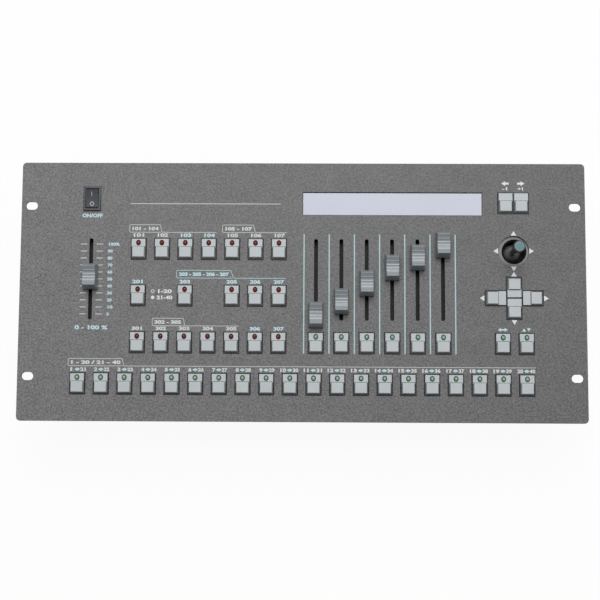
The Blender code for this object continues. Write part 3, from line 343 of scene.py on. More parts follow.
def lamp_plastic(name, colour, foot_shade):
    """Tinted lens of a small lamp, darker low down where it sits in its hole: painted shade."""
    made, tree, shader = new_material(name)
    feed(shader, {"Coat Weight": 0.05, "Coat Roughness": 0.2, "Specular IOR Level": 0.25})
    feed(shader, {"Subsurface Weight": 0.3, "Subsurface Radius": (0.001, 0.001, 0.001)})
    height = add_node(tree, "SeparateXYZ", "Z", {0: coordinates(tree, "Generated")})
    cloud = noise(surface_point(tree), 700.0, 2.0)
    # Painted shade: the lens turns to the darker colour towards its foot.
    lens = ramp(weighted_sum(cloud, 0.12, height), (0.70, foot_shade), (1.0, colour))
    finish_shader(shader, lens, spread(cloud, 0.15, 0.3))
    return made


def brushed_metal(name, colour, roughness):
    """Metal with fine streaks along X."""
    made, tree, shader = new_material(name)
    feed(shader, {"Metallic": 1.0})
    inputs = {0: surface_point(tree), 1: (40.0, 900.0, 900.0)}
    streaks = noise(add_node(tree, "VectorMath", 0, inputs, operation="MULTIPLY"), 1.0, 4.0)
    body = ramp(streaks, (0.30, shade(colour, 0.8)), (0.70, shade(colour, 1.15)))
    finish_shader(shader, body, spread(streaks, roughness - 0.1, roughness + 0.1), streaks, 0.00001)
    return made


def display_glass(name, colour):
    """The unlit display behind its window: pale, with a faint grid of character cells."""
    made, tree, shader = new_material(name)
    feed(shader, {"Specular IOR Level": 0.3})
    colours = (colour, shade(colour, 0.995), shade(colour, 1.012))
    cells = grid(tree, colours, 0.00025, 0.0036, 0.0062, 0.0)
    clouds = ramp(noise(surface_point(tree), 25.0, 2.0), (0.3, (0.97, 0.97, 0.97)), (0.7, (1, 1, 1)))
    finish_shader(shader, mixed_colour(1.0, cells, clouds, "MULTIPLY"), 0.5)
    return made


def circuit_board(name, colour, copper):
    """Solder mask over tracks that run along and across the board."""
    made, tree, shader = new_material(name)
    tracks = grid(tree, (colour, shade(colour, 0.8), copper), 0.0003, 0.011, 0.0021, 0.37)
    uneven = spread(noise(surface_point(tree), 800.0), 0.4, 0.55)
    finish_shader(shader, tracks, uneven, tracks.node.outputs["Fac"], 0.00003)
    return made


# The panel's coat carries painted light: a little paler towards -X and darker towards +X.
PANEL_COAT = textured_coat("textured_grey_coat", (0.146, 0.147, 0.146), 0.0015, 0.55, 0.58, painted_light_fade=0.13)
CASE_COAT = textured_coat("dark_case_coat", (0.050, 0.050, 0.052), 0.0008, 0.25, 0.6, 0.0001)
BLACK_PLASTIC = moulded("black_plastic_satin", (0.018, 0.018, 0.020), 0.42, 0.15)
ROCKER_PLASTIC = moulded("black_rocker_plastic", (0.052, 0.058, 0.068), 0.62, 0.10)
BEZEL_PLASTIC = moulded("black_bezel_plastic", (0.042, 0.046, 0.050), 0.45, 0.10)
# Black plastic that also serves as painted shade: in the key caps' grooves, in the fader slots and in the gap
# at the display pane's far edge.
SLOT_BLACK_AND_SHADE = moulded("black_lining_and_painted_shade", (0.018, 0.018, 0.019), 0.7, 0.2)
KEY_PLASTIC = handled_plastic("pale_key_plastic", (0.480, 0.515, 0.530), 0.48, (0.54, 0.57, 0.58))
FADER_PLASTIC = handled_plastic("grey_fader_plastic", (0.250, 0.278, 0.298), 0.42, (0.33, 0.36, 0.38))
# A painted highlight: the pale colour of the fader ribs' crests.
RIB_HIGHLIGHT_PLASTIC = moulded("rib_painted_highlight", (0.47, 0.51, 0.53), 0.45, 0.06)
RING_PLASTIC = moulded("grey_ring_plastic", (0.21, 0.215, 0.215), 0.5)
GAITER_RUBBER = moulded("grey_gaiter_rubber", (0.105, 0.105, 0.108), 0.7, 0.1, 0.0004, 0.00005)
KNOB_PLASTIC = moulded("black_knob_plastic", (0.016, 0.016, 0.018), 0.35, 0.1)
# Black of the joystick's base and yoke, also used as painted shade for the lip under the ring and the dome's
# lower part.
WELL_BLACK_AND_SHADE = moulded("black_well_and_painted_shade", (0.007, 0.007, 0.008), 0.8, 0.15, gloss=0.12)
KNOB_INLAY = moulded("blue_grey_knob_inlay", (0.090, 0.215, 0.245), 0.5, 0.08)
KNOB_RIM = moulded("pale_knob_rim", (0.20, 0.30, 0.33), 0.5, 0.05)
# Each lamp's second colour is painted shade for its foot in the hole.
RED_LAMP = lamp_plastic("red_lamp_lens", (0.21, 0.026, 0.023), (0.085, 0.013, 0.012))
GREEN_LAMP = lamp_plastic("green_lamp_lens", (0.28, 0.47, 0.34), (0.040, 0.130, 0.070))
DISPLAY_GLASS = display_glass("pale_display", (0.615, 0.635, 0.735))
MODULE_BOARD = circuit_board("display_board_mask", (0.020, 0.060, 0.035), (0.06, 0.12, 0.06))
BOARD_GREEN = circuit_board("green_board_mask", (0.025, 0.100, 0.050), (0.08, 0.19, 0.09))
STEEL = brushed_metal("plated_steel", (0.52, 0.52, 0.53), 0.38)
NICKEL = brushed_metal("nickel_plate", (0.62, 0.61, 0.58), 0.28)
MARK_INK = moulded("grey_mark_ink", (0.41, 0.42, 0.43), 0.6, 0.06)
WHITE_INK = moulded("white_ink", (0.74, 0.76, 0.75), 0.6, 0.06)
LETTER_WHITE = moulded("white_figure_ink", (0.62, 0.65, 0.64), 0.6, 0.08)
RULE_INK = moulded("white_rule_ink", (0.56, 0.58, 0.57), 0.6, 0.08)
TICK_INK = moulded("pale_tick_ink", (0.55, 0.60, 0.61), 0.6, 0.08)
CYAN_INK = moulded("pale_cyan_ink", (0.44, 0.60, 0.63), 0.6, 0.08)
LETTER_CYAN = moulded("bright_cyan_ink", (0.52, 0.70, 0.76), 0.6, 0.08)


# Objects


def new_object(name, data):
    made = bpy.data.objects.new(name, data)
    bpy.context.scene.collection.objects.link(made)
    return made


def evaluated_mesh(thing):
    """A new mesh of an object as its modifiers or its curve make it."""
    bpy.context.view_layer.update()
    graph = bpy.context.evaluated_depsgraph_get()
    return bpy.data.meshes.new_from_object(thing.evaluated_get(graph))


def place_copy(name, mesh, place, turn=0.0):
    piece = new_object(name, mesh)
    piece.location = place
    piece.rotation_euler = (0, 0, turn)
    return piece


def piece_from(name, bm, surface, place=(0, 0, 0), sharp=32.0):
    """An object from a shape in millimetres, at a place in metres."""
    bmesh.ops.scale(bm, vec=(MM, MM, MM), verts=bm.verts)
    mesh = bpy.data.meshes.new(name)
    bm.to_mesh(mesh)
    bm.free()
    mesh.shade_smooth()
    mesh.set_sharp_from_angle(angle=math.radians(sharp))
    mesh.materials.append(surface)
    piece = place_copy(name, mesh, place)
    flats = piece.modifiers.new("Flats", "WEIGHTED_NORMAL")
    flats.keep_sharp = True
    piece.data = evaluated_mesh(piece)
    piece.modifiers.clear()
    bpy.data.meshes.remove(mesh)
    piece.data.name = name
    return piece


def piece_mesh(name, bm, surface):
    """A mesh that several objects share."""
    first = piece_from(name, bm, surface)
    mesh = first.data
    bpy.data.objects.remove(first)
    return mesh


def fixed(piece, replaced=(), body="console"):
    """The piece rides on a body and stands for the named nodes, which are hidden."""
    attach(piece, body)
    if replaced:
        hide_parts(*replaced)
    return piece


def paint(surface, *nodes):
    """Gives a surface to nodes that stay in view as they are."""
    for node in nodes:
        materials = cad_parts[node].data.materials
        materials.clear()
        materials.append(surface)


# Outlines, as lists of points (x, y)


def rectangle(x0, x1, y0, y1):
    return [(x0, y0), (x1, y0), (x1, y1), (x0, y1)]


def around(x, y, half_x, half_y):
    """A rectangle about a point."""
    return rectangle(x - half_x, x + half_x, y - half_y, y + half_y)


def arc_points(x, y, radius, start, end, steps):
    angles = [math.radians(start + (end - start) * n / steps) for n in range(steps + 1)]
    return [(x + radius * math.cos(a), y + radius * math.sin(a)) for a in angles]


def circle(x, y, radius, sides=FINE_SIDES):
    return arc_points(x, y, radius, 0, 360, sides)[:-1]


def rounded_rectangle(half_x, half_y, radius, x=0.0, y=0.0):
    """A rectangle about a point, with rounded corners."""
    left, right = x - half_x + radius, x + half_x - radius
    near, far = y - half_y + radius, y + half_y - radius
    points = []
    for quarter, corner in enumerate(((right, far), (left, far), (left, near), (right, near))):
        points += arc_points(*corner, radius, 90 * quarter, 90 * quarter + 90, 6)
    return points


def stadium(x, y, length_x, length_y):
    """A slot's outline with round ends, long in X or in Y."""
    return rounded_rectangle(length_x / 2, length_y / 2, min(length_x, length_y) / 2 * 0.999, x, y)


# Shapes, each a new one or added to the one that is given


def prism(outline, low, high, bm=None):
    """A closed body from an outline, between two heights."""
    bm = bmesh.new() if bm is None else bm
    rings = [[bm.verts.new((x, y, z)) for x, y in outline] for z in (low, high)]
    faces = [bm.faces.new(reversed(rings[0])), bm.faces.new(rings[1])]
    for n in range(len(outline)):
        m = (n + 1) % len(outline)
        faces.append(bm.faces.new((rings[0][n], rings[0][m], rings[1][m], rings[1][n])))
    bmesh.ops.recalc_face_normals(bm, faces=faces)
    return bm


def slab(half_x, half_y, low, high, bm=None):
    """A box about the Z axis."""
    return prism(around(0, 0, half_x, half_y), low, high, bm)


def moved(bm, matrix):
    bmesh.ops.transform(bm, matrix=matrix, verts=bm.verts)
    return bm


def turned(profile, sides=FINE_SIDES):
    """A closed profile of points (radius, height) turned about the Z axis."""
    bm = bmesh.new()
    rings = []
    for radius, height in profile:
        angles = [2 * math.pi * n / sides for n in range(1 if radius == 0 else sides)]
        rings.append([bm.verts.new((radius * math.cos(a), radius * math.sin(a), height)) for a in angles])
    faces = []
    for ring, after in zip(rings, rings[1:] + rings[:1]):
        if len(ring) == 1 and len(after) == 1:
            continue
        for n in range(sides):
            m = (n + 1) % sides
            corners = [ring[n % len(ring)], ring[m % len(ring)], after[m % len(after)], after[n % len(after)]]
            faces.append(bm.faces.new(list(dict.fromkeys(corners))))
    bmesh.ops.recalc_face_normals(bm, faces=faces)
    return bm


def skinned(sections, looped=False):
    """A closed body over sections of as many points, with flat ends or looped."""
    bm = bmesh.new()
    rings = [[bm.verts.new(point) for point in section] for section in sections]
    faces = [] if looped else [bm.faces.new(rings[0]), bm.faces.new(rings[-1])]
    for ring, after in zip(rings, rings[1:] + rings[:1] if looped else rings[1:]):
        for n in range(len(ring)):
            m = (n + 1) % len(ring)
            faces.append(bm.faces.new((ring[n], ring[m], after[m], after[n])))
    bmesh.ops.recalc_face_normals(bm, faces=faces)
    return bm


def soften(bm, width, segments=2, angle=30.0, above=-math.inf, below=math.inf):
    """Rounds the edges that are sharper than an angle, where they lie between two heights."""
    limit = math.radians(angle)
    edges = [
        e for e in bm.edges
        if len(e.link_faces) == 2 and e.calc_face_angle(0) > limit
        and all(above < v.co.z < below for v in e.verts)
    ]
    bmesh.ops.bevel(
        bm, geom=edges, offset=width, offset_type="OFFSET", segments=segments, profile=0.5,
        affect="EDGES", clamp_overlap=True,
    )
    return bm


def combined(first, operation, second):
    """The union or difference of two shapes, as a new shape. Both are used up."""
    helpers = []
    for n, bm in enumerate((first, second)):
        mesh = bpy.data.meshes.new(f"helper_{n}")
        bm.to_mesh(mesh)
        bm.free()
        helpers.append(new_object(f"helper_{n}", mesh))
    step = helpers[0].modifiers.new("Combine", "BOOLEAN")
    step.operation = operation
    step.solver = "EXACT"
    step.object = helpers[1]
    result = evaluated_mesh(helpers[0])
    bm = bmesh.new()
    bm.from_mesh(result)
    for mesh in (result, *(helper.data for helper in helpers)):
        bpy.data.meshes.remove(mesh)
    bmesh.ops.dissolve_limit(bm, angle_limit=math.radians(1), verts=bm.verts, edges=bm.edges)
    return bm


def joined(first, second):
    return combined(first, "UNION", second)


def cut(shape, *tools):
    for tool in tools:
        shape = combined(shape, "DIFFERENCE", tool)
    return shape


def flat_plate(name, outlines, low, high, edge, surface):
    """A plate with rounded edges: the first outline is its rim, the others are holes."""
    curve = bpy.data.curves.new(name, "CURVE")
    curve.dimensions = "2D"
    curve.fill_mode = "BOTH"
    curve.extrude = (high - low) / 2 * MM - edge * MM
    curve.bevel_depth = edge * MM
    curve.bevel_resolution = 1
    curve.offset = -edge * MM
    for outline in outlines:
        spline = curve.splines.new("POLY")
        spline.points.add(len(outline) - 1)
        for point, (x, y) in zip(spline.points, outline):
            point.co = (x * MM, y * MM, 0, 1)
        spline.use_cyclic_u = True
    helper = new_object(name + "_outline", curve)
    mesh = evaluated_mesh(helper)
    bpy.data.objects.remove(helper)
    bpy.data.curves.remove(curve)
    bm = bmesh.new()
    bm.from_mesh(mesh)
    bpy.data.meshes.remove(mesh)
    bmesh.ops.remove_doubles(bm, verts=bm.verts, dist=1e-6)
    bmesh.ops.scale(bm, vec=(1 / MM, 1 / MM, 1 / MM), verts=bm.verts)
    return piece_from(name, bm, surface, (0, 0, PANEL_TOP + (low + high) / 2 * MM), sharp=40)


# Places of the keys and other pieces, from their nodes, in millimetres from the panel's centre


def key_places():
    """Each single key as (node, x, y, turn). Its ledge ends LEDGE_BACK from its place."""
    places = []
    turns = {"cursor_key_up": math.pi, "cursor_key_left": -math.pi / 2, "cursor_key_right": math.pi / 2}
    for node in sorted(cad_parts):
        if "_key_" not in node:
            continue
        low, high = corners_of(node)
        x, y = (low.x + high.x) / 2, (low.y + high.y) / 2
        if node == "cursor_key_left":
            x = high.x - LEDGE_BACK
        elif node == "cursor_key_right":
            x = low.x + LEDGE_BACK
        elif node == "cursor_key_up":
            y = low.y + LEDGE_BACK
        else:
            y = high.y - LEDGE_BACK
        places.append((node, x, y, turns.get(node, 0.0)))
    return places


def low_key_places():
    """The lowest row's keys as (number, x, y, body), ten on each strip."""
    places = []
    for first, node in ((1, "low_keys_left"), (11, "low_keys_right")):
        low, high = corners_of(node)
        pitch = (high.x - low.x - 2 * LEDGE_HALF) / 9
        for n in range(10):
            places.append((first + n, low.x + LEDGE_HALF + n * pitch, high.y - LEDGE_BACK, node))
    return places


KEYS = key_places()
LOW_KEYS = low_key_places()
KEY_AT = {node: (x, y) for node, x, y, _ in KEYS}
FADER_X = {n: middle(f"fader_cap_{n}").x / MM for n in range(1, 7)}
MASTER_X = middle("master_fader_cap").x / MM
JOYSTICK = middle("joystick_ring") / MM
SWITCH = middle("switch_housing") / MM
CROSS_X = (KEY_AT["cursor_key_left"][0] + KEY_AT["cursor_key_right"][0]) / 2
CROSS_Y = (KEY_AT["cursor_key_up"][1] + KEY_AT["cursor_key_down"][1]) / 2
WINDOW_LOW, WINDOW_HIGH = corners_of("display_window")
PANE_X = (WINDOW_LOW.x + DISPLAY_RIM, WINDOW_HIGH.x - DISPLAY_RIM)
PANE_Y = (WINDOW_LOW.y + DISPLAY_RIM, WINDOW_HIGH.y - DISPLAY_RIM)
BOARD_LOW, BOARD_HIGH = corners_of("key_board")
SLOT_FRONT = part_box("master_fader_body")[0].y / MM + POT_END
SLOT_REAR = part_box("master_fader_body")[1].y / MM - POT_END


# Panel


def make_panel():
    """The sheet with all its openings."""
    outlines = [rounded_rectangle(HALF_WIDTH, HALF_LENGTH, PANEL_CORNER)]
    half_x = KEY_WIDTH / 2 + GAP
    half_y = KEY_LENGTH / 2 + GAP
    single = [(x, y) for node, x, y, _ in KEYS if node.startswith(("function", "flash", "axis"))]
    for x, y in single + [(x, y) for _, x, y, _ in LOW_KEYS]:
        outlines.append(around(x, y, half_x, half_y))
    (left, y), (right, _) = KEY_AT["page_key_left"], KEY_AT["page_key_right"]
    outlines.append(rectangle(left - half_x, right + half_x, y - half_y, y + half_y))
    reach_x = KEY_AT["cursor_key_right"][0] - CROSS_X + half_y
    reach_y = KEY_AT["cursor_key_up"][1] - CROSS_Y + half_y
    half_cross = [(half_x, half_x), (half_x, reach_y), (-half_x, reach_y)]
    half_cross += [(-half_x, half_x), (-reach_x, half_x), (-reach_x, -half_x)]
    outlines.append([(CROSS_X + side * x, CROSS_Y + side * y) for side in (1, -1) for x, y in half_cross])
    for x in (MASTER_X, *FADER_X.values()):
        outlines.append(stadium(x, (SLOT_FRONT + SLOT_REAR) / 2, SLOT_WIDTH, SLOT_REAR - SLOT_FRONT))
    for sx in (-1, 1):
        for sy in (-1, 1):
            outlines.append(stadium(sx * RACK_SLOT_X, sy * RACK_SLOT_Y, *RACK_SLOT))
    outlines.append(rectangle(PANE_X[0] - GAP, PANE_X[1] + GAP, PANE_Y[0] - GAP, PANE_Y[1] + GAP))
    outlines.append(around(SWITCH.x, SWITCH.y, SWITCH_BODY_X + GAP, SWITCH_BODY_Y + GAP))
    outlines.append(circle(JOYSTICK.x, JOYSTICK.y, HOLE_RADIUS))
    panel = flat_plate("front_panel_sheet", outlines, -PANEL_THICKNESS, 0.0, PANEL_EDGE, PANEL_COAT)
    fixed(panel, ["front_panel"])


# Keys


def frame_mesh():
    """A key's black frame, with the well that the cap dips into."""
    half_x, half_y = KEY_WIDTH / 2, KEY_LENGTH / 2
    mouth = rectangle(FRAME_WALL - half_x, half_x - FRAME_WALL, FRAME_FRONT_WALL - half_y, LEDGE_FRONT + GAP)
    well = prism(mouth, WELL_FLOOR, FRAME_TOP + GAP)
    bm = cut(slab(half_x, half_y, FRAME_FOOT, FRAME_TOP), well)
    return piece_mesh("key_frame", soften(bm, 0.16, above=FRAME_TOP - 0.01), BLACK_PLASTIC)


def stretch_lamp(bm):
    """Lamps and their holes are longer than they are wide."""
    return moved(bm, Matrix.Diagonal((1, LAMP_STRETCH, 1, 1)))


def cap_mesh(has_lamp):
    """A cap: the thin ledge at its hinge, the block that is pressed, and a groove painted black inside as
    painted shade.
    """
    top_half = BLOCK_HALF - BLOCK_SIDE_SLOPE
    sections = (
        (BLOCK_HALF, BLOCK_FRONT, LEDGE_FRONT, BLOCK_FOOT),
        (BLOCK_HALF, BLOCK_FRONT, LEDGE_FRONT, BLOCK_SHOULDER),
        (top_half, BLOCK_FRONT + BLOCK_FRONT_SLOPE, LEDGE_FRONT - BLOCK_REAR_SLOPE, BLOCK_TOP),
    )
    block = skinned(
        [(x, y, z) for x, y in rectangle(-half, half, front, rear)] for half, front, rear, z in sections
    )
    soften(block, 0.3, 3, above=BLOCK_SHOULDER)
    outline = rectangle(-LEDGE_HALF, LEDGE_HALF, LEDGE_FRONT - 0.6, LEDGE_ROUNDED_BACK)
    ledge = soften(prism(outline, LEDGE_LOW, LEDGE_HIGH), 0.25)
    outline = rectangle(-LEDGE_HALF - 1, LEDGE_HALF + 1, LEDGE_FRONT, GROOVE_REAR)
    cap = cut(joined(block, ledge), prism(outline, LEDGE_HIGH - GROOVE_DEPTH, BLOCK_TOP))
    if has_lamp:
        hole = turned([(0, 0), (LAMP_HOLE, 0), (LAMP_HOLE, BLOCK_TOP), (0, BLOCK_TOP)], SMALL_SIDES)
        cap = cut(cap, moved(stretch_lamp(hole), Matrix.Translation((0, LAMP_Y, 0))))
    # Painted shade: the groove's faces take the black material, standing in for the shadow in the groove.
    for face in cap.faces:
        spot = face.calc_center_median()
        if LEDGE_FRONT - 0.01 < spot.y < GROOVE_REAR + 0.01 and LEDGE_LOW < spot.z < LEDGE_HIGH - 0.1:
            face.material_index = 1
    mesh = piece_mesh("lamp_key_cap" if has_lamp else "plain_key_cap", cap, KEY_PLASTIC)
    mesh.materials.append(SLOT_BLACK_AND_SHADE)
    return mesh


def lamp_mesh(name, surface):
    """A small domed lamp."""
    dome = arc_points(0, LAMP_TOP - LAMP_RADIUS, LAMP_RADIUS, 0, 75, 5)
    profile = [(0, FRAME_TOP), (LAMP_RADIUS, FRAME_TOP), *dome, (0, LAMP_TOP)]
    return piece_mesh(name, stretch_lamp(turned(profile, SMALL_SIDES)), surface)


def make_keys():
    """Frames and lamps on the console, and each cap on its own body."""
    frames = frame_mesh()
    caps = {True: cap_mesh(True), False: cap_mesh(False)}
    lamps = {"red": lamp_mesh("red_lamp", RED_LAMP), "green": lamp_mesh("green_lamp", GREEN_LAMP)}
    places = [(node, node, x, y, turn) for node, x, y, turn in KEYS]
    places += [(f"low_key_{number}", body, x, y, 0.0) for number, x, y, body in LOW_KEYS]
    for name, body, x, y, turn in places:
        has_lamp = not name.startswith(("cursor", "page"))
        place = lift(x, y)
        fixed(place_copy(f"{name}_frame", frames, place, turn))
        replaced = [body] if name == body or name in ("low_key_1", "low_key_11") else []
        fixed(place_copy(f"{name}_cap", caps[has_lamp], place, turn), replaced, body)
        if has_lamp:
            colour = "red" if name.startswith("function") else "green"
            fixed(place_copy(f"{name}_lamp", lamps[colour], lift(x, y + LAMP_Y)))


def make_strip_bars():
    """The bar and posts that join each strip's caps under the panel."""
    half = BAR_THICKNESS / 2
    for node in ("low_keys_left", "low_keys_right"):
        keys = [(x, y) for _, x, y, body in LOW_KEYS if body == node]
        foot = corners_of(node)[0].z - PANEL_TOP / MM
        (x0, y), (x1, _) = keys[0], keys[-1]
        centre = (x0 + x1) / 2
        outline = rectangle(x0 - centre - 2 * half, x1 - centre + 2 * half, -half, half)
        bar = soften(prism(outline, foot, foot + 2 * half), 0.2)
        fixed(piece_from(f"{node}_bar", bar, BLACK_PLASTIC, lift(centre, y)), body=node)
        for n, (x, y) in enumerate(keys, 1):
            post = slab(1.5, 1.2, foot + half, BLOCK_FOOT + 0.2)
            fixed(piece_from(f"{node}_post_{n}", post, BLACK_PLASTIC, lift(x, y)), body=node)


def make_key_board():
    """The circuit board under the frames, open for the faders and the joystick."""
    slots = (SLOT_FRONT - POT_END - 1.0, SLOT_REAR + POT_END + 1.0)
    outlines = [
        rectangle(BOARD_LOW.x, BOARD_HIGH.x, BOARD_LOW.y, BOARD_HIGH.y),
        rectangle(MASTER_X - POT_HALF, MASTER_X + POT_HALF, *slots),
        rectangle(FADER_X[1] - POT_HALF - POT_END, FADER_X[6] + POT_HALF + POT_END, *slots),
        around(JOYSTICK.x, JOYSTICK.y, WELL_HALF, WELL_HALF),
    ]
    foot = FRAME_FOOT - BOARD_THICKNESS
    board = flat_plate("key_circuit_board", outlines, foot, FRAME_FOOT, 0.1, BOARD_GREEN)
    fixed(board, ["key_board"])


# Faders


def dish_height(y):
    """The arc of a fader cap's dished top, above the panel."""
    radius = (DISH_HALF ** 2 + DISH_DEPTH ** 2) / (2 * DISH_DEPTH)
    return FADER_TOP - DISH_DEPTH + radius - math.sqrt(radius ** 2 - y ** 2)


def fader_outline():
    """A fader cap's side view (y, z), with four rounded ribs across its dish."""
    half = [(FADER_HALF, FADER_FOOT), (FADER_HALF, 2.3), (10.92, 2.7), (8.62, 11.3), (8.35, 11.8)]
    half += [(8.0, FADER_TOP), (7.75, 11.97)]
    half += [(y, dish_height(y)) for y in (7.35, 6.6, 5.8, 5.1)]
    side = ((0.7, 0.02), (0.45, 0.32), (0.2, 0.42))
    profile = (*side, (0.0, 0.44), *((-across, rise) for across, rise in reversed(side)))
    for rib in (1.5 * RIB_PITCH, 0.5 * RIB_PITCH):
        half += [(rib + across, dish_height(rib + across) + rise) for across, rise in profile]
        half.append((rib - RIB_PITCH / 2, dish_height(rib - RIB_PITCH / 2)))
    return half + [(-y, z) for y, z in reversed(half[:-1])]


def fader_mesh():
    """The ribbed cap, wider at its foot, with rounded long edges and a painted highlight on three rib tops.
    """
    rounding = ((0.3, 0.0), (0.1, 0.08), (0.0, 0.3), (0.0, 0.7))
    sections = []
    for side, steps in ((-1, rounding), (1, reversed(rounding))):
        for inset, inward in steps:
            section = []
            for y, z in fader_outline():
                half_width = FADER_HALF_WIDTH - FADER_FLARE * (z - FADER_FOOT) / (FADER_TOP - FADER_FOOT)
                drop = inset if z > 2.0 else 0.0
                section.append((side * (half_width - inward), y * (1 - inset / 30), z - drop))
            sections.append(section)
    bm = skinned(sections)
    # Painted highlight: the crests of the three nearer ribs take the pale material; the farthest rib stays
    # plain.
    for face in bm.faces:
        spot = face.calc_center_median()
        near = min(abs(spot.y - n * RIB_PITCH) for n in (0.5, -0.5, -1.5))
        if near < 0.5 and spot.z > dish_height(spot.y) + 0.12 and abs(face.normal.x) < 0.7:
            face.material_index = 1
    mesh = piece_mesh("fader_cap_body", bm, FADER_PLASTIC)
    mesh.materials.append(RIB_HIGHLIGHT_PLASTIC)
    return mesh


def make_faders():
    """Caps and stems on their bodies, over the slide potentiometers."""
    cap = fader_mesh()
    stem = slab(3.3, 4.0, CARRIAGE_FOOT, STEM_FOOT + 0.1, slab(1.2, 3.0, STEM_FOOT, 2.6))
    stem = piece_mesh("fader_stem", stem, SLOT_BLACK_AND_SHADE)
    for node in ("master_fader_cap", *(f"fader_cap_{n}" for n in range(1, 7))):
        spot = middle(node) / MM
        place = lift(spot.x, spot.y)
        fixed(place_copy(f"{node}_top", cap, place), [node], node)
        fixed(place_copy(f"{node}_stem", stem, place), body=node)
    # The slide potentiometers under the slots are black, partly their own colour and partly painted shade in
    # the deep slots.
    paint(SLOT_BLACK_AND_SHADE, "master_fader_body", "fader_bank")


# Display


def make_display():
    """The pane with its softened edge, over the display, and the black rim that holds it, which shows as a
    dark line of painted shade at the pane's far edge.
    """
    centre = lift(sum(PANE_X) / 2, sum(PANE_Y) / 2)
    half_x, half_y = (PANE_X[1] - PANE_X[0]) / 2, (PANE_Y[1] - PANE_Y[0]) / 2
    # The pane stops short of its far edge, so the black rim shows there as painted shade of the recess.
    pane = prism(rectangle(-half_x, half_x, -half_y, half_y - GAP), PANE_FOOT, PANE_TOP)
    soften(pane, 0.35, 3, above=PANE_TOP - 0.1)
    fixed(piece_from("display_pane", pane, DISPLAY_GLASS, centre), ["display_window"])
    rim = slab(half_x + DISPLAY_RIM, half_y + DISPLAY_RIM, -3.5, -3.25)
    fixed(piece_from("display_pane_rim", rim, SLOT_BLACK_AND_SHADE, centre))


# Power rocker


def make_switch():
    """The bezel with its body, and the terminals below it."""
    bezel = soften(slab(BEZEL_HALF_X, BEZEL_HALF_Y, GAP, BEZEL_TOP), 0.5, 3, above=BEZEL_TOP - 0.1)
    bezel = joined(bezel, slab(SWITCH_BODY_X, SWITCH_BODY_Y, SWITCH_FOOT, 1.0))
    well = slab(BEZEL_HALF_X - BEZEL_WALL, BEZEL_HALF_Y - BEZEL_WALL, SWITCH_WELL_FLOOR, 3.0)
    place = lift(SWITCH.x, SWITCH.y)
    bezel = piece_from("switch_bezel", cut(bezel, well), BEZEL_PLASTIC, place)
    fixed(bezel, ["switch_housing"])
    for n, y in enumerate((-TAB_Y, TAB_Y), 1):
        tab = prism(around(0, y, 2.4, 0.4), TAB_FOOT, SWITCH_FOOT + 0.2)
        fixed(piece_from(f"switch_tab_{n}", tab, NICKEL, place))


def make_rocker():
    """The rocker, a prism along X with a shallow valley, drawn level and then tilted."""
    lowest = -math.asin(ROCKER_DROP / ROCKER_REACH)
    steps = 12
    arc = [lowest + (ROCKER_CORNER - lowest) * n / steps for n in range(steps + 1)]
    right = [(ROCKER_REACH * math.cos(a), ROCKER_REACH * math.sin(a)) for a in arc]
    left = [(-y, z) for y, z in reversed(right)]
    half_width = BEZEL_HALF_X - BEZEL_WALL - GAP
    bm = prism(right + [(0, rocker_valley())] + left, -half_width, half_width)
    moved(bm, Matrix(((0, 0, 1, 0), (1, 0, 0, 0), (0, 1, 0, 0), (0, 0, 0, 1))))
    soften(bm, 0.3, angle=20)
    rocker = piece_from("rocker_face", bm, ROCKER_PLASTIC, lift(SWITCH.x, SWITCH.y, ROCKER_AXIS))
    rocker.rotation_euler = (ROCKER_TILT, 0, 0)
    fixed(rocker, ["power_rocker"], "power_rocker")


def rocker_valley():
    """The height of the rocker's middle over its axis, where its two slopes meet."""
    rise = ROCKER_REACH * math.sin(ROCKER_CORNER)
    return rise - ROCKER_REACH * math.cos(ROCKER_CORNER) * math.tan(ROCKER_TILT)


def make_rocker_marks():
    """A bar for on and a ring for off, flat on the rocker's two slopes."""
    bar = slab(0.32, 1.9, -INK_DEPTH, INK_DEPTH)
    outer, inner = circle(0, 0, 1.85, 24), circle(0, 0, 1.15, 24)
    edges = ((outer, -INK_DEPTH), (outer, INK_DEPTH), (inner, INK_DEPTH), (inner, -INK_DEPTH))
    ring = skinned(([(x, y, z) for x, y in points] for points, z in edges), looped=True)
    axis = Matrix.Translation(lift(SWITCH.x, SWITCH.y, ROCKER_AXIS))
    about = axis @ Matrix.Rotation(ROCKER_TILT, 4, "X")
    for name, side, shape in (("rocker_mark_on", 1, bar), ("rocker_mark_off", -1, ring)):
        y = side * ROCKER_REACH * 0.5
        height = rocker_valley() + abs(y) * math.tan(ROCKER_TILT) + INK_DEPTH
        mark = piece_from(name, shape, MARK_INK)
        slope = Matrix.Rotation(side * ROCKER_TILT, 4, "X")
        mark.matrix_world = about @ Matrix.Translation((0, y * MM, height * MM)) @ slope
        fixed(mark, body="power_rocker")


# Joystick


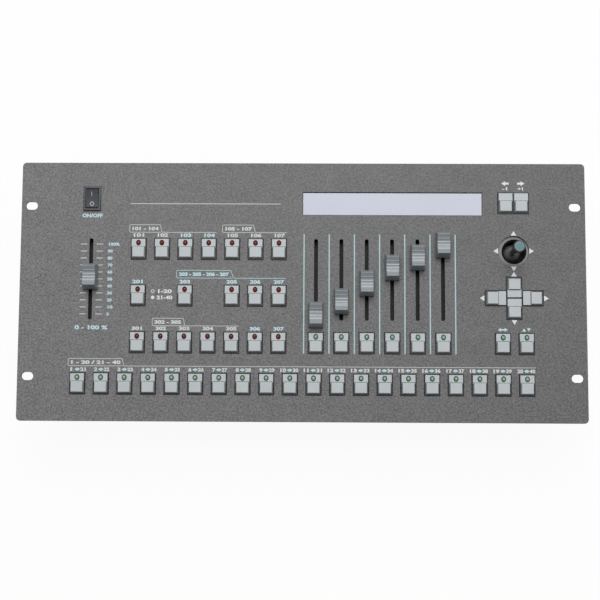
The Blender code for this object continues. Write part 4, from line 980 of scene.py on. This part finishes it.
def make_well():
    """The ring, the black lip under it as painted shade of the deep gap, and the colour of what lies in the
    well.
    """
    place = lift(JOYSTICK.x, JOYSTICK.y) + RING_SHIFT
    ring = turned([
        (MOUTH_RADIUS, RING_TOP - 1.4), (RING_REACH, RING_TOP - 1.4), (RING_REACH, RING_TOP),
        (MOUTH_RADIUS + 0.6, RING_TOP), (MOUTH_RADIUS + 0.2, RING_TOP - 0.15), (MOUTH_RADIUS, RING_TOP - 0.5),
    ])
    fixed(piece_from("joystick_ring_face", ring, RING_PLASTIC, place), ["joystick_ring"])
    # Painted shade: a black lip narrows the mouth, so that the gap round the dome is dark.
    lip = turned([
        (LIP_RADIUS, RING_TOP - 2.3), (12.0, RING_TOP - 2.3), (12.0, RING_TOP - 1.5),
        (LIP_RADIUS + 0.3, RING_TOP - 1.5), (LIP_RADIUS, RING_TOP - 1.8),
    ])
    fixed(piece_from("joystick_ring_lip", lip, WELL_BLACK_AND_SHADE, place))
    paint(WELL_BLACK_AND_SHADE, "joystick_base", "joystick_yoke")


def make_stick():
    """The rubber dome about the pivot, painted black low down as painted shade of the well, and the shaft
    that stands in it.
    """
    pivot = corners_of("joystick_stick")[0].z + GAITER_RADIUS - PANEL_TOP / MM
    neck = 2.2
    dome = [(x, z) for x, z in arc_points(0, 0, GAITER_RADIUS, -90, 90, 28)[1:-1] if x > neck or z < 0]
    collar = [(2.6, dome[-1][1] + 0.3), (2.6, GAITER_RADIUS + 1.2), (SHAFT_RADIUS, GAITER_RADIUS + 1.5)]
    shaft = [(SHAFT_RADIUS, SHAFT_TOP - pivot), (0, SHAFT_TOP - pivot)]
    bm = turned([(0, -GAITER_RADIUS), *dome, *collar, *shaft])
    # Painted shade: the dome's lower faces take the well's black.
    for face in bm.faces:
        if face.calc_center_median().z < GAITER_SHADE_TOP:
            face.material_index = 1
    stick = piece_from("joystick_dome", bm, GAITER_RUBBER, lift(JOYSTICK.x, JOYSTICK.y, pivot))
    stick.data.materials.append(WELL_BLACK_AND_SHADE)
    fixed(stick, ["joystick_stick"], "joystick_stick")


def make_knob():
    """The knob, flared towards its top, with a pale rim round a coloured inlay."""
    place = lift(JOYSTICK.x, JOYSTICK.y)
    flare = KNOB_TOP - (KNOB_TOP - KNOB_FOOT) / 3
    body = turned([
        (2.2, KNOB_FOOT), (3.1, KNOB_FOOT), (3.4, KNOB_FOOT + 0.3), (4.2, (KNOB_FOOT + flare) / 2 + 1),
        (KNOB_RADIUS - 0.15, flare - 1), (KNOB_RADIUS, flare), (KNOB_RADIUS, KNOB_TOP - 1.2),
        (KNOB_RADIUS - 0.15, KNOB_TOP - 0.6), (4.55, KNOB_TOP - 0.3), (0, KNOB_TOP - 0.3),
        (0, 18.0), (2.2, 18.0),
    ])
    knob = piece_from("joystick_knob_body", body, KNOB_PLASTIC, place)
    fixed(knob, ["joystick_knob"], "joystick_stick")
    foot = KNOB_TOP - 0.4
    rim = turned([(2.9, foot), (3.9, foot), (3.8, KNOB_TOP - 0.1), (3.6, KNOB_TOP), (3.0, KNOB_TOP - 0.05)])
    fixed(piece_from("joystick_knob_rim", rim, KNOB_RIM, place), body="joystick_stick")
    inlay = turned([(0, foot), (2.88, foot), (2.88, KNOB_TOP - 0.12), (0, KNOB_TOP - 0.05)])
    fixed(piece_from("joystick_knob_inlay", inlay, KNOB_INLAY, place), body="joystick_stick")


# Printed marks


def add_area(bm, points):
    bm.faces.new([bm.verts.new((x, y, 0)) for x, y in points])


def add_stroke(bm, points, width, closed=False):
    """A line of even width through points, with mitred corners."""
    count = len(points)
    sides = []
    for n, point in enumerate(points):
        here = Vector(point)
        directions = []
        if n or closed:
            directions.append((here - Vector(points[n - 1])).normalized())
        if n < count - 1 or closed:
            directions.append((Vector(points[(n + 1) % count]) - here).normalized())
        normals = [Vector((-d.y, d.x)) for d in directions]
        mitre = sum(normals, Vector((0, 0))).normalized()
        reach = width / 2 / max(mitre.dot(normals[0]), 0.4)
        sides.append((here + mitre * reach, here - mitre * reach))
    for n in range(count if closed else count - 1):
        m = (n + 1) % count
        add_area(bm, (sides[n][1], sides[m][1], sides[m][0], sides[n][0]))


def add_arrow_head(bm, x, y, size, heading):
    """A triangle whose tip is at (x, y)."""
    along = Vector((math.cos(heading), math.sin(heading)))
    across = Vector((-along.y, along.x))
    tip = Vector((x, y))
    add_area(bm, [tip, *(tip - along * size + side * across * size * 0.62 for side in (1, -1))])


def add_text(bm, text, x, y, height, width, align="CENTER", bold=0.14):
    """Figures as flat shapes, as wide as stated. The point (x, y) is on their middle line."""
    curve = bpy.data.curves.new("figures", "FONT")
    curve.body = text
    curve.size = height / 0.7
    curve.align_x = align
    curve.offset = bold
    curve.resolution_u = 3
    helper = new_object("figures", curve)
    mesh = evaluated_mesh(helper)
    across = [v.co.x for v in mesh.vertices]
    stretch = width / (max(across) - min(across))
    mesh.transform(Matrix.Translation((x, y - height / 2, 0)) @ Matrix.Diagonal((stretch, 1, 1, 1)))
    bm.from_mesh(mesh)
    bpy.data.objects.remove(helper)
    bpy.data.curves.remove(curve)
    bpy.data.meshes.remove(mesh)


def printed(name, bm, ink):
    """A thin layer of ink on the panel, from flat shapes."""
    for face in bm.faces:
        if face.normal.z < 0:
            face.normal_flip()
    top = bmesh.ops.extrude_face_region(bm, geom=list(bm.faces), use_keep_orig=True)
    lifted = [v for v in top["geom"] if isinstance(v, bmesh.types.BMVert)]
    bmesh.ops.translate(bm, vec=(0, 0, INK_DEPTH), verts=lifted)
    bmesh.ops.recalc_face_normals(bm, faces=bm.faces)
    fixed(piece_from(name, bm, ink, lift(0, 0, -INK_DEPTH / 3)))


def print_scale():
    """The master fader's scale: eleven ticks at each side, with figures at the right."""
    ticks, figures, words = bmesh.new(), bmesh.new(), bmesh.new()
    for n in range(11):
        y = TICK_TOP - n * TICK_STEP
        for x0, x1 in TICK_SPANS:
            add_area(ticks, rectangle(MASTER_X + x0, MASTER_X + x1, y - TICK_HALF, y + TICK_HALF))
        text = "100%" if n == 0 else str(100 - 10 * n)
        width = {4: 9.3, 2: 4.2, 1: 1.9}[len(text)]
        add_text(figures, text, MASTER_X + 14.2, y, 2.4, width, "LEFT")
    printed("master_scale_ticks", ticks, TICK_INK)
    printed("master_scale_figures", figures, LETTER_CYAN)
    add_text(words, "0 - 100 %", MASTER_X + 1.2, -31.4, 3.2, 28.0, bold=0.2)
    printed("master_range", words, LETTER_CYAN)


def print_separators():
    """The rules between the faders."""
    bm = bmesh.new()
    for n in range(7):
        x = SEPARATOR_X + SEPARATOR_STEP * n
        add_area(bm, rectangle(x - 0.5, x + 0.5, *SEPARATOR_SPAN))
    printed("fader_separators", bm, CYAN_INK)


def add_tab(bm, left, right_top, right_foot, top, foot, end):
    """A header: a box with a slanting right side, and the rule that runs on from its foot."""
    radius = 1.0
    points = [(end, foot), (right_foot, foot), (right_foot - 0.9, foot + 0.5)]
    points += [(right_top, top - 0.3), (right_top - 0.7, top)]
    points += arc_points(left + radius, top - radius, radius, 90, 180, 3)
    points += arc_points(left + radius, foot + radius, radius, 180, 270, 3)
    points += [(right_foot - 1.6, foot)]
    add_stroke(bm, points, RULE_WIDTH)


def print_headers():
    """Tabs over the groups of keys, with their numbers, and the rule above the top row."""
    white, cyan = bmesh.new(), bmesh.new()
    figures, cyan_figures = bmesh.new(), bmesh.new()
    tabs = (
        (white, -148.0, -121.9, -119.4, 56.9, 50.4, -73.8, "101 - 104"),
        (white, -68.4, -41.9, -39.6, 56.9, 50.4, -13.1, "105 - 107"),
        (cyan, -107.1, -60.9, -57.8, 17.75, 11.1, -13.8, "203 - 205 - 206 - 207"),
        (white, -127.3, -100.9, -98.8, -23.4, -29.8, -53.8, "302 - 305"),
        (white, -198.1, -152.3, -150.0, -57.9, -64.1, 197.5, "1 - 20 / 21 - 40"),
    )
    for bm, left, right_top, right_foot, top, foot, end, text in tabs:
        add_tab(bm, left, right_top, right_foot, top, foot, end)
        room = right_top - left
        ink = figures if bm is white else cyan_figures
        add_text(ink, text, left + room / 2, (top + foot) / 2, 2.7, room - 3.6, bold=0.2)
    add_area(white, rectangle(-147.5, -18.75, 74.9, 75.55))
    printed("header_figures", figures, LETTER_WHITE)
    printed("cyan_header_figures", cyan_figures, LETTER_CYAN)
    printed("white_headers", white, RULE_INK)
    printed("cyan_headers", cyan, CYAN_INK)


def print_key_numbers():
    """The numbers over the keys, and the arrows over the two axis keys."""
    white, cyan = bmesh.new(), bmesh.new()
    cyan_keys = {"13", "14", "36", "37", *(str(n) for n in range(21, 28))}
    for node, (x, y) in KEY_AT.items():
        if node.startswith("function"):
            number = node[-2:]
            ink = cyan if number in cyan_keys else white
            add_text(ink, f"{number[0]}0{number[1]}", x, y + NUMBER_RISE, NUMBER_HEIGHT, 9.0, bold=0.18)
    for number, x, y, _ in LOW_KEYS:
        y += NUMBER_RISE
        width = {1: 1.6, 11: 4.2}.get(number, 2.7 if number < 10 else 5.0)
        add_text(white, str(number), x - 3.3, y, NUMBER_HEIGHT, width, "RIGHT", 0.19)
        add_text(white, str(number + 20), x + 2.3, y, NUMBER_HEIGHT, 4.8, "LEFT", 0.19)
        for side, heading in ((-1, math.pi), (1, 0.0)):
            add_arrow_head(cyan, x - 0.2 + side * 2.4, y, 2.3, heading)
    for node, tips in (
        ("axis_key_left", ((-4.2, 0, math.pi), (4.2, 0, 0.0))),
        ("axis_key_right", ((-2.0, 1.3, math.pi / 2), (2.0, -1.3, -math.pi / 2))),
    ):
        x, y = KEY_AT[node]
        for tip_x, tip_y, heading in tips:
            add_arrow_head(cyan, x + tip_x, y + NUMBER_RISE + tip_y, 2.7, heading)
    x, y = KEY_AT["axis_key_left"]
    add_stroke(cyan, [(x - 1.6, y + NUMBER_RISE), (x + 1.6, y + NUMBER_RISE)], 1.2)
    printed("white_key_numbers", white, LETTER_WHITE)
    printed("cyan_key_numbers", cyan, LETTER_CYAN)


def print_legend():
    """The two ranges of numbers beside the middle row: an open and a filled mark."""
    bm = bmesh.new()
    x = -127.3
    add_stroke(bm, circle(x, -0.25, 1.25, 20), 0.45, True)
    add_text(bm, "1-20", x + 3.4, -0.25, 2.9, 11.6, "LEFT", 0.18)
    add_area(bm, circle(x, -5.6, 1.5, 20))
    add_text(bm, "21-40", x + 3.4, -5.6, 2.9, 13.4, "LEFT", 0.18)
    printed("range_legend", bm, WHITE_INK)


def print_arrows():
    """Triangles round the joystick and the cursor keys, and the marks over the page keys."""
    white, marks = bmesh.new(), bmesh.new()
    for n in range(4):
        heading = n * math.pi / 2
        cross_reach = 29.2 if n % 2 == 0 else 22.5
        for x, y, reach in ((JOYSTICK.x, JOYSTICK.y, 17.2), (CROSS_X, CROSS_Y, cross_reach)):
            tip_x, tip_y = x + reach * math.cos(heading), y + reach * math.sin(heading)
            add_arrow_head(white, tip_x, tip_y, ARROW_SIZE, heading)
    printed("direction_arrows", white, WHITE_INK)
    for node, heading, text in (("page_key_left", math.pi, "-1"), ("page_key_right", 0.0, "+1")):
        x, y = KEY_AT[node]
        run = 3.0 * math.cos(heading)
        add_stroke(marks, [(x - run, y + PAGE_ARROW_RISE), (x, y + PAGE_ARROW_RISE)], 1.7)
        add_arrow_head(marks, x + run * 1.1, y + PAGE_ARROW_RISE, 3.3, heading)
        add_text(marks, text, x, y + 12.7, 2.5, 4.6, bold=0.12)
    printed("page_arrows", marks, WHITE_INK)


def print_switch_words():
    bm = bmesh.new()
    add_text(bm, "ON/OFF", SWITCH.x + 0.4, 64.8, 3.0, 17.5, bold=0.18)
    printed("switch_words", bm, LETTER_CYAN)


# Case and connectors

STAND_UP = Matrix.Rotation(math.pi / 2, 4, "X")


def on_rear_wall(name, bm, surface, x, replaced=()):
    """A shape with its front towards -Z, stood up on the rear wall."""
    place = (x, CASE_HIGH.y, (CASE_LOW.z + CASE_HIGH.z) / 2)
    fixed(piece_from(name, moved(bm, STAND_UP), surface, place), replaced)


def make_case():
    """The folded tray with rounded bends, inward flanges and openings for its connectors."""
    half_x, half_y, height = CASE_HIGH.x / MM, CASE_HIGH.y / MM, CASE_HIGH.z / MM
    shells = []
    for inset, radius in ((0.0, 2.4), (CASE_SHEET, 1.0)):
        shell = slab(half_x - inset, half_y - inset, inset, height - inset)
        shells.append(soften(shell, radius, 5))
    lip = CASE_SHEET + CASE_FLANGE
    mouth = rounded_rectangle(half_x - lip, half_y - lip, 4.0)
    tools = [shells[1], prism(mouth, height / 2, height + 1)]
    for node, outline in (
        ("mains_inlet", rounded_rectangle(INLET_BODY[0] + GAP, INLET_BODY[1] + GAP, 1.6)),
        ("data_socket", circle(0, 0, BARREL_RADIUS + GAP)),
    ):
        place = Matrix.Translation((middle(node).x / MM, half_y, height / 2))
        tools.append(moved(prism(outline, -4.0, 4.0), place @ STAND_UP))
    fixed(piece_from("case_shell", cut(shells[0], *tools), CASE_COAT), ["case_tray"])


def make_mains_inlet():
    """Flange and body with the recess for a plug, and three blades in it."""
    x = middle("mains_inlet").x
    flange = soften(prism(rounded_rectangle(*INLET_FLANGE, 2.5), -2.1, -GAP), 0.4, below=-2.0)
    body = prism(rounded_rectangle(*INLET_BODY, 1.4), -1.2, INLET_DEPTH)
    outline = [(-11.8, -8.05), (11.8, -8.05), (11.8, 3.6), (7.4, 8.05), (-7.4, 8.05), (-11.8, 3.6)]
    inlet = cut(joined(flange, body), prism(outline, -3.0, 14.4))
    on_rear_wall("inlet_body", inlet, BLACK_PLASTIC, x, ["mains_inlet"])
    for n, (pin_x, pin_z) in enumerate(((-7.0, -2.0), (0.0, 2.0), (7.0, -2.0)), 1):
        pin = prism(around(pin_x, pin_z, 1.0, 2.0), 1.5, 14.5)
        on_rear_wall(f"inlet_pin_{n}", soften(pin, 0.35, below=1.6), NICKEL, x)


def make_data_socket():
    """Plate and barrel, the insert with five contact holes in it, and two screws."""
    x = middle("data_socket").x
    plate = soften(prism(rounded_rectangle(*SOCKET_PLATE, 2.5), -2.3, -GAP), 0.3, below=-2.2)
    barrel = prism(circle(0, 0, BARREL_RADIUS), -1.0, SOCKET_DEPTH)
    shell = cut(joined(plate, barrel), prism(circle(0, 0, 9.8), -4.0, 7.7))
    on_rear_wall("socket_plate", shell, NICKEL, x, ["data_socket"])
    insert = soften(prism(circle(0, 0, INSERT_RADIUS), -2.0, 7.6), 0.4, below=-1.9)
    holes = bmesh.new()
    for angle in CONTACT_ANGLES:
        turn = math.radians(angle)
        spot = (CONTACT_CIRCLE * math.cos(turn), CONTACT_CIRCLE * math.sin(turn))
        prism(circle(*spot, 1.2, SMALL_SIDES), -3.0, 5.0, holes)
    on_rear_wall("socket_insert", cut(insert, holes), BLACK_PLASTIC, x)
    for n, (screw_x, screw_z) in enumerate(((-9.6, 12.2), (9.6, -12.2)), 1):
        head = turned([(0, -2.3), (2.1, -2.3), (2.0, -2.8), (1.5, -3.2), (0, -3.35)], SMALL_SIDES)
        head = cut(head, slab(1.2, 0.22, -4.0, -2.75), slab(0.22, 1.2, -4.0, -2.75))
        moved(head, Matrix.Translation((screw_x, screw_z, 0)))
        on_rear_wall(f"socket_screw_{n}", head, STEEL, x)


# Stage


def make_floor():
    """A pale floor, near white for the camera, which keeps the object's shadow."""
    bm = bmesh.new()
    bmesh.ops.create_grid(bm, x_segments=1, y_segments=1, size=6000)
    made, tree, shader = new_material("pale_floor")
    feed(shader, {"Base Color": (0.88, 0.88, 0.88, 1), "Roughness": 0.9})
    glow = add_node(tree, "Emission", 0, {"Color": (1, 1, 1, 1)})
    in_view = add_node(tree, "LightPath", "Is Camera Ray")
    seen = add_node(tree, "Math", 0, {0: in_view, 1: 0.94}, operation="MULTIPLY")
    mix = add_node(tree, "MixShader", 0, {"Fac": seen, 1: shader.outputs[0], 2: glow})
    feed(tree.nodes["Material Output"], {"Surface": mix})
    floor = piece_from("floor", bm, made, (0, 0, -0.0002))


def make_light():
    """One large soft light above and beyond the panel, and a dim even world."""
    scene = bpy.context.scene
    light = bpy.data.lights.new("softbox", "AREA")
    light.shape = "SQUARE"
    light.size = 2.6
    light.energy = 150.0
    softbox = new_object("softbox", light)
    softbox.location = (0.12, 1.85, 3.75)
    aim = Vector((0, 0, 0.08)) - softbox.location
    softbox.rotation_euler = aim.to_track_quat("-Z", "Y").to_euler()
    scene.world = bpy.data.worlds.new("studio")
    scene.world.use_nodes = True
    tree = scene.world.node_tree
    level = spread(add_node(tree, "LightPath", "Is Camera Ray"), 0.22, 1.0, 0.0, 1.0)
    feed(tree.nodes["Background"], {"Color": (1, 1, 1, 1), "Strength": level})
    scene.view_settings.view_transform = "Standard"


def make_camera():
    """The photograph's camera, from its turn and shift relative to the panel's centre."""
    turn = Matrix.Identity(3)
    for angle, axis in zip(CAMERA_TURN, "XYZ"):
        turn = Matrix.Rotation(math.radians(angle), 3, axis) @ turn
    place = -(turn.transposed() @ Vector(CAMERA_SHIFT))
    camera = bpy.data.cameras.new("camera")
    camera.sensor_width = SENSOR_WIDTH
    camera.lens = FOCAL_PIXELS * SENSOR_WIDTH / IMAGE_WIDTH
    eye = new_object("camera", camera)
    eye.matrix_world = Matrix.Translation(lift(*place)) @ turn.transposed().to_4x4()
    bpy.context.scene.camera = eye


make_camera()
make_light()
make_floor()
make_panel()
make_keys()
make_strip_bars()
make_key_board()
make_faders()
make_display()
make_switch()
make_rocker()
make_rocker_marks()
make_well()
make_stick()
make_knob()
print_scale()
print_separators()
print_headers()
print_key_numbers()
print_legend()
print_arrows()
print_switch_words()
make_case()
make_mains_inlet()
make_data_socket()
paint(BOARD_GREEN, "main_board")
paint(STEEL, "mains_transformer")
paint(MODULE_BOARD, "display_module")
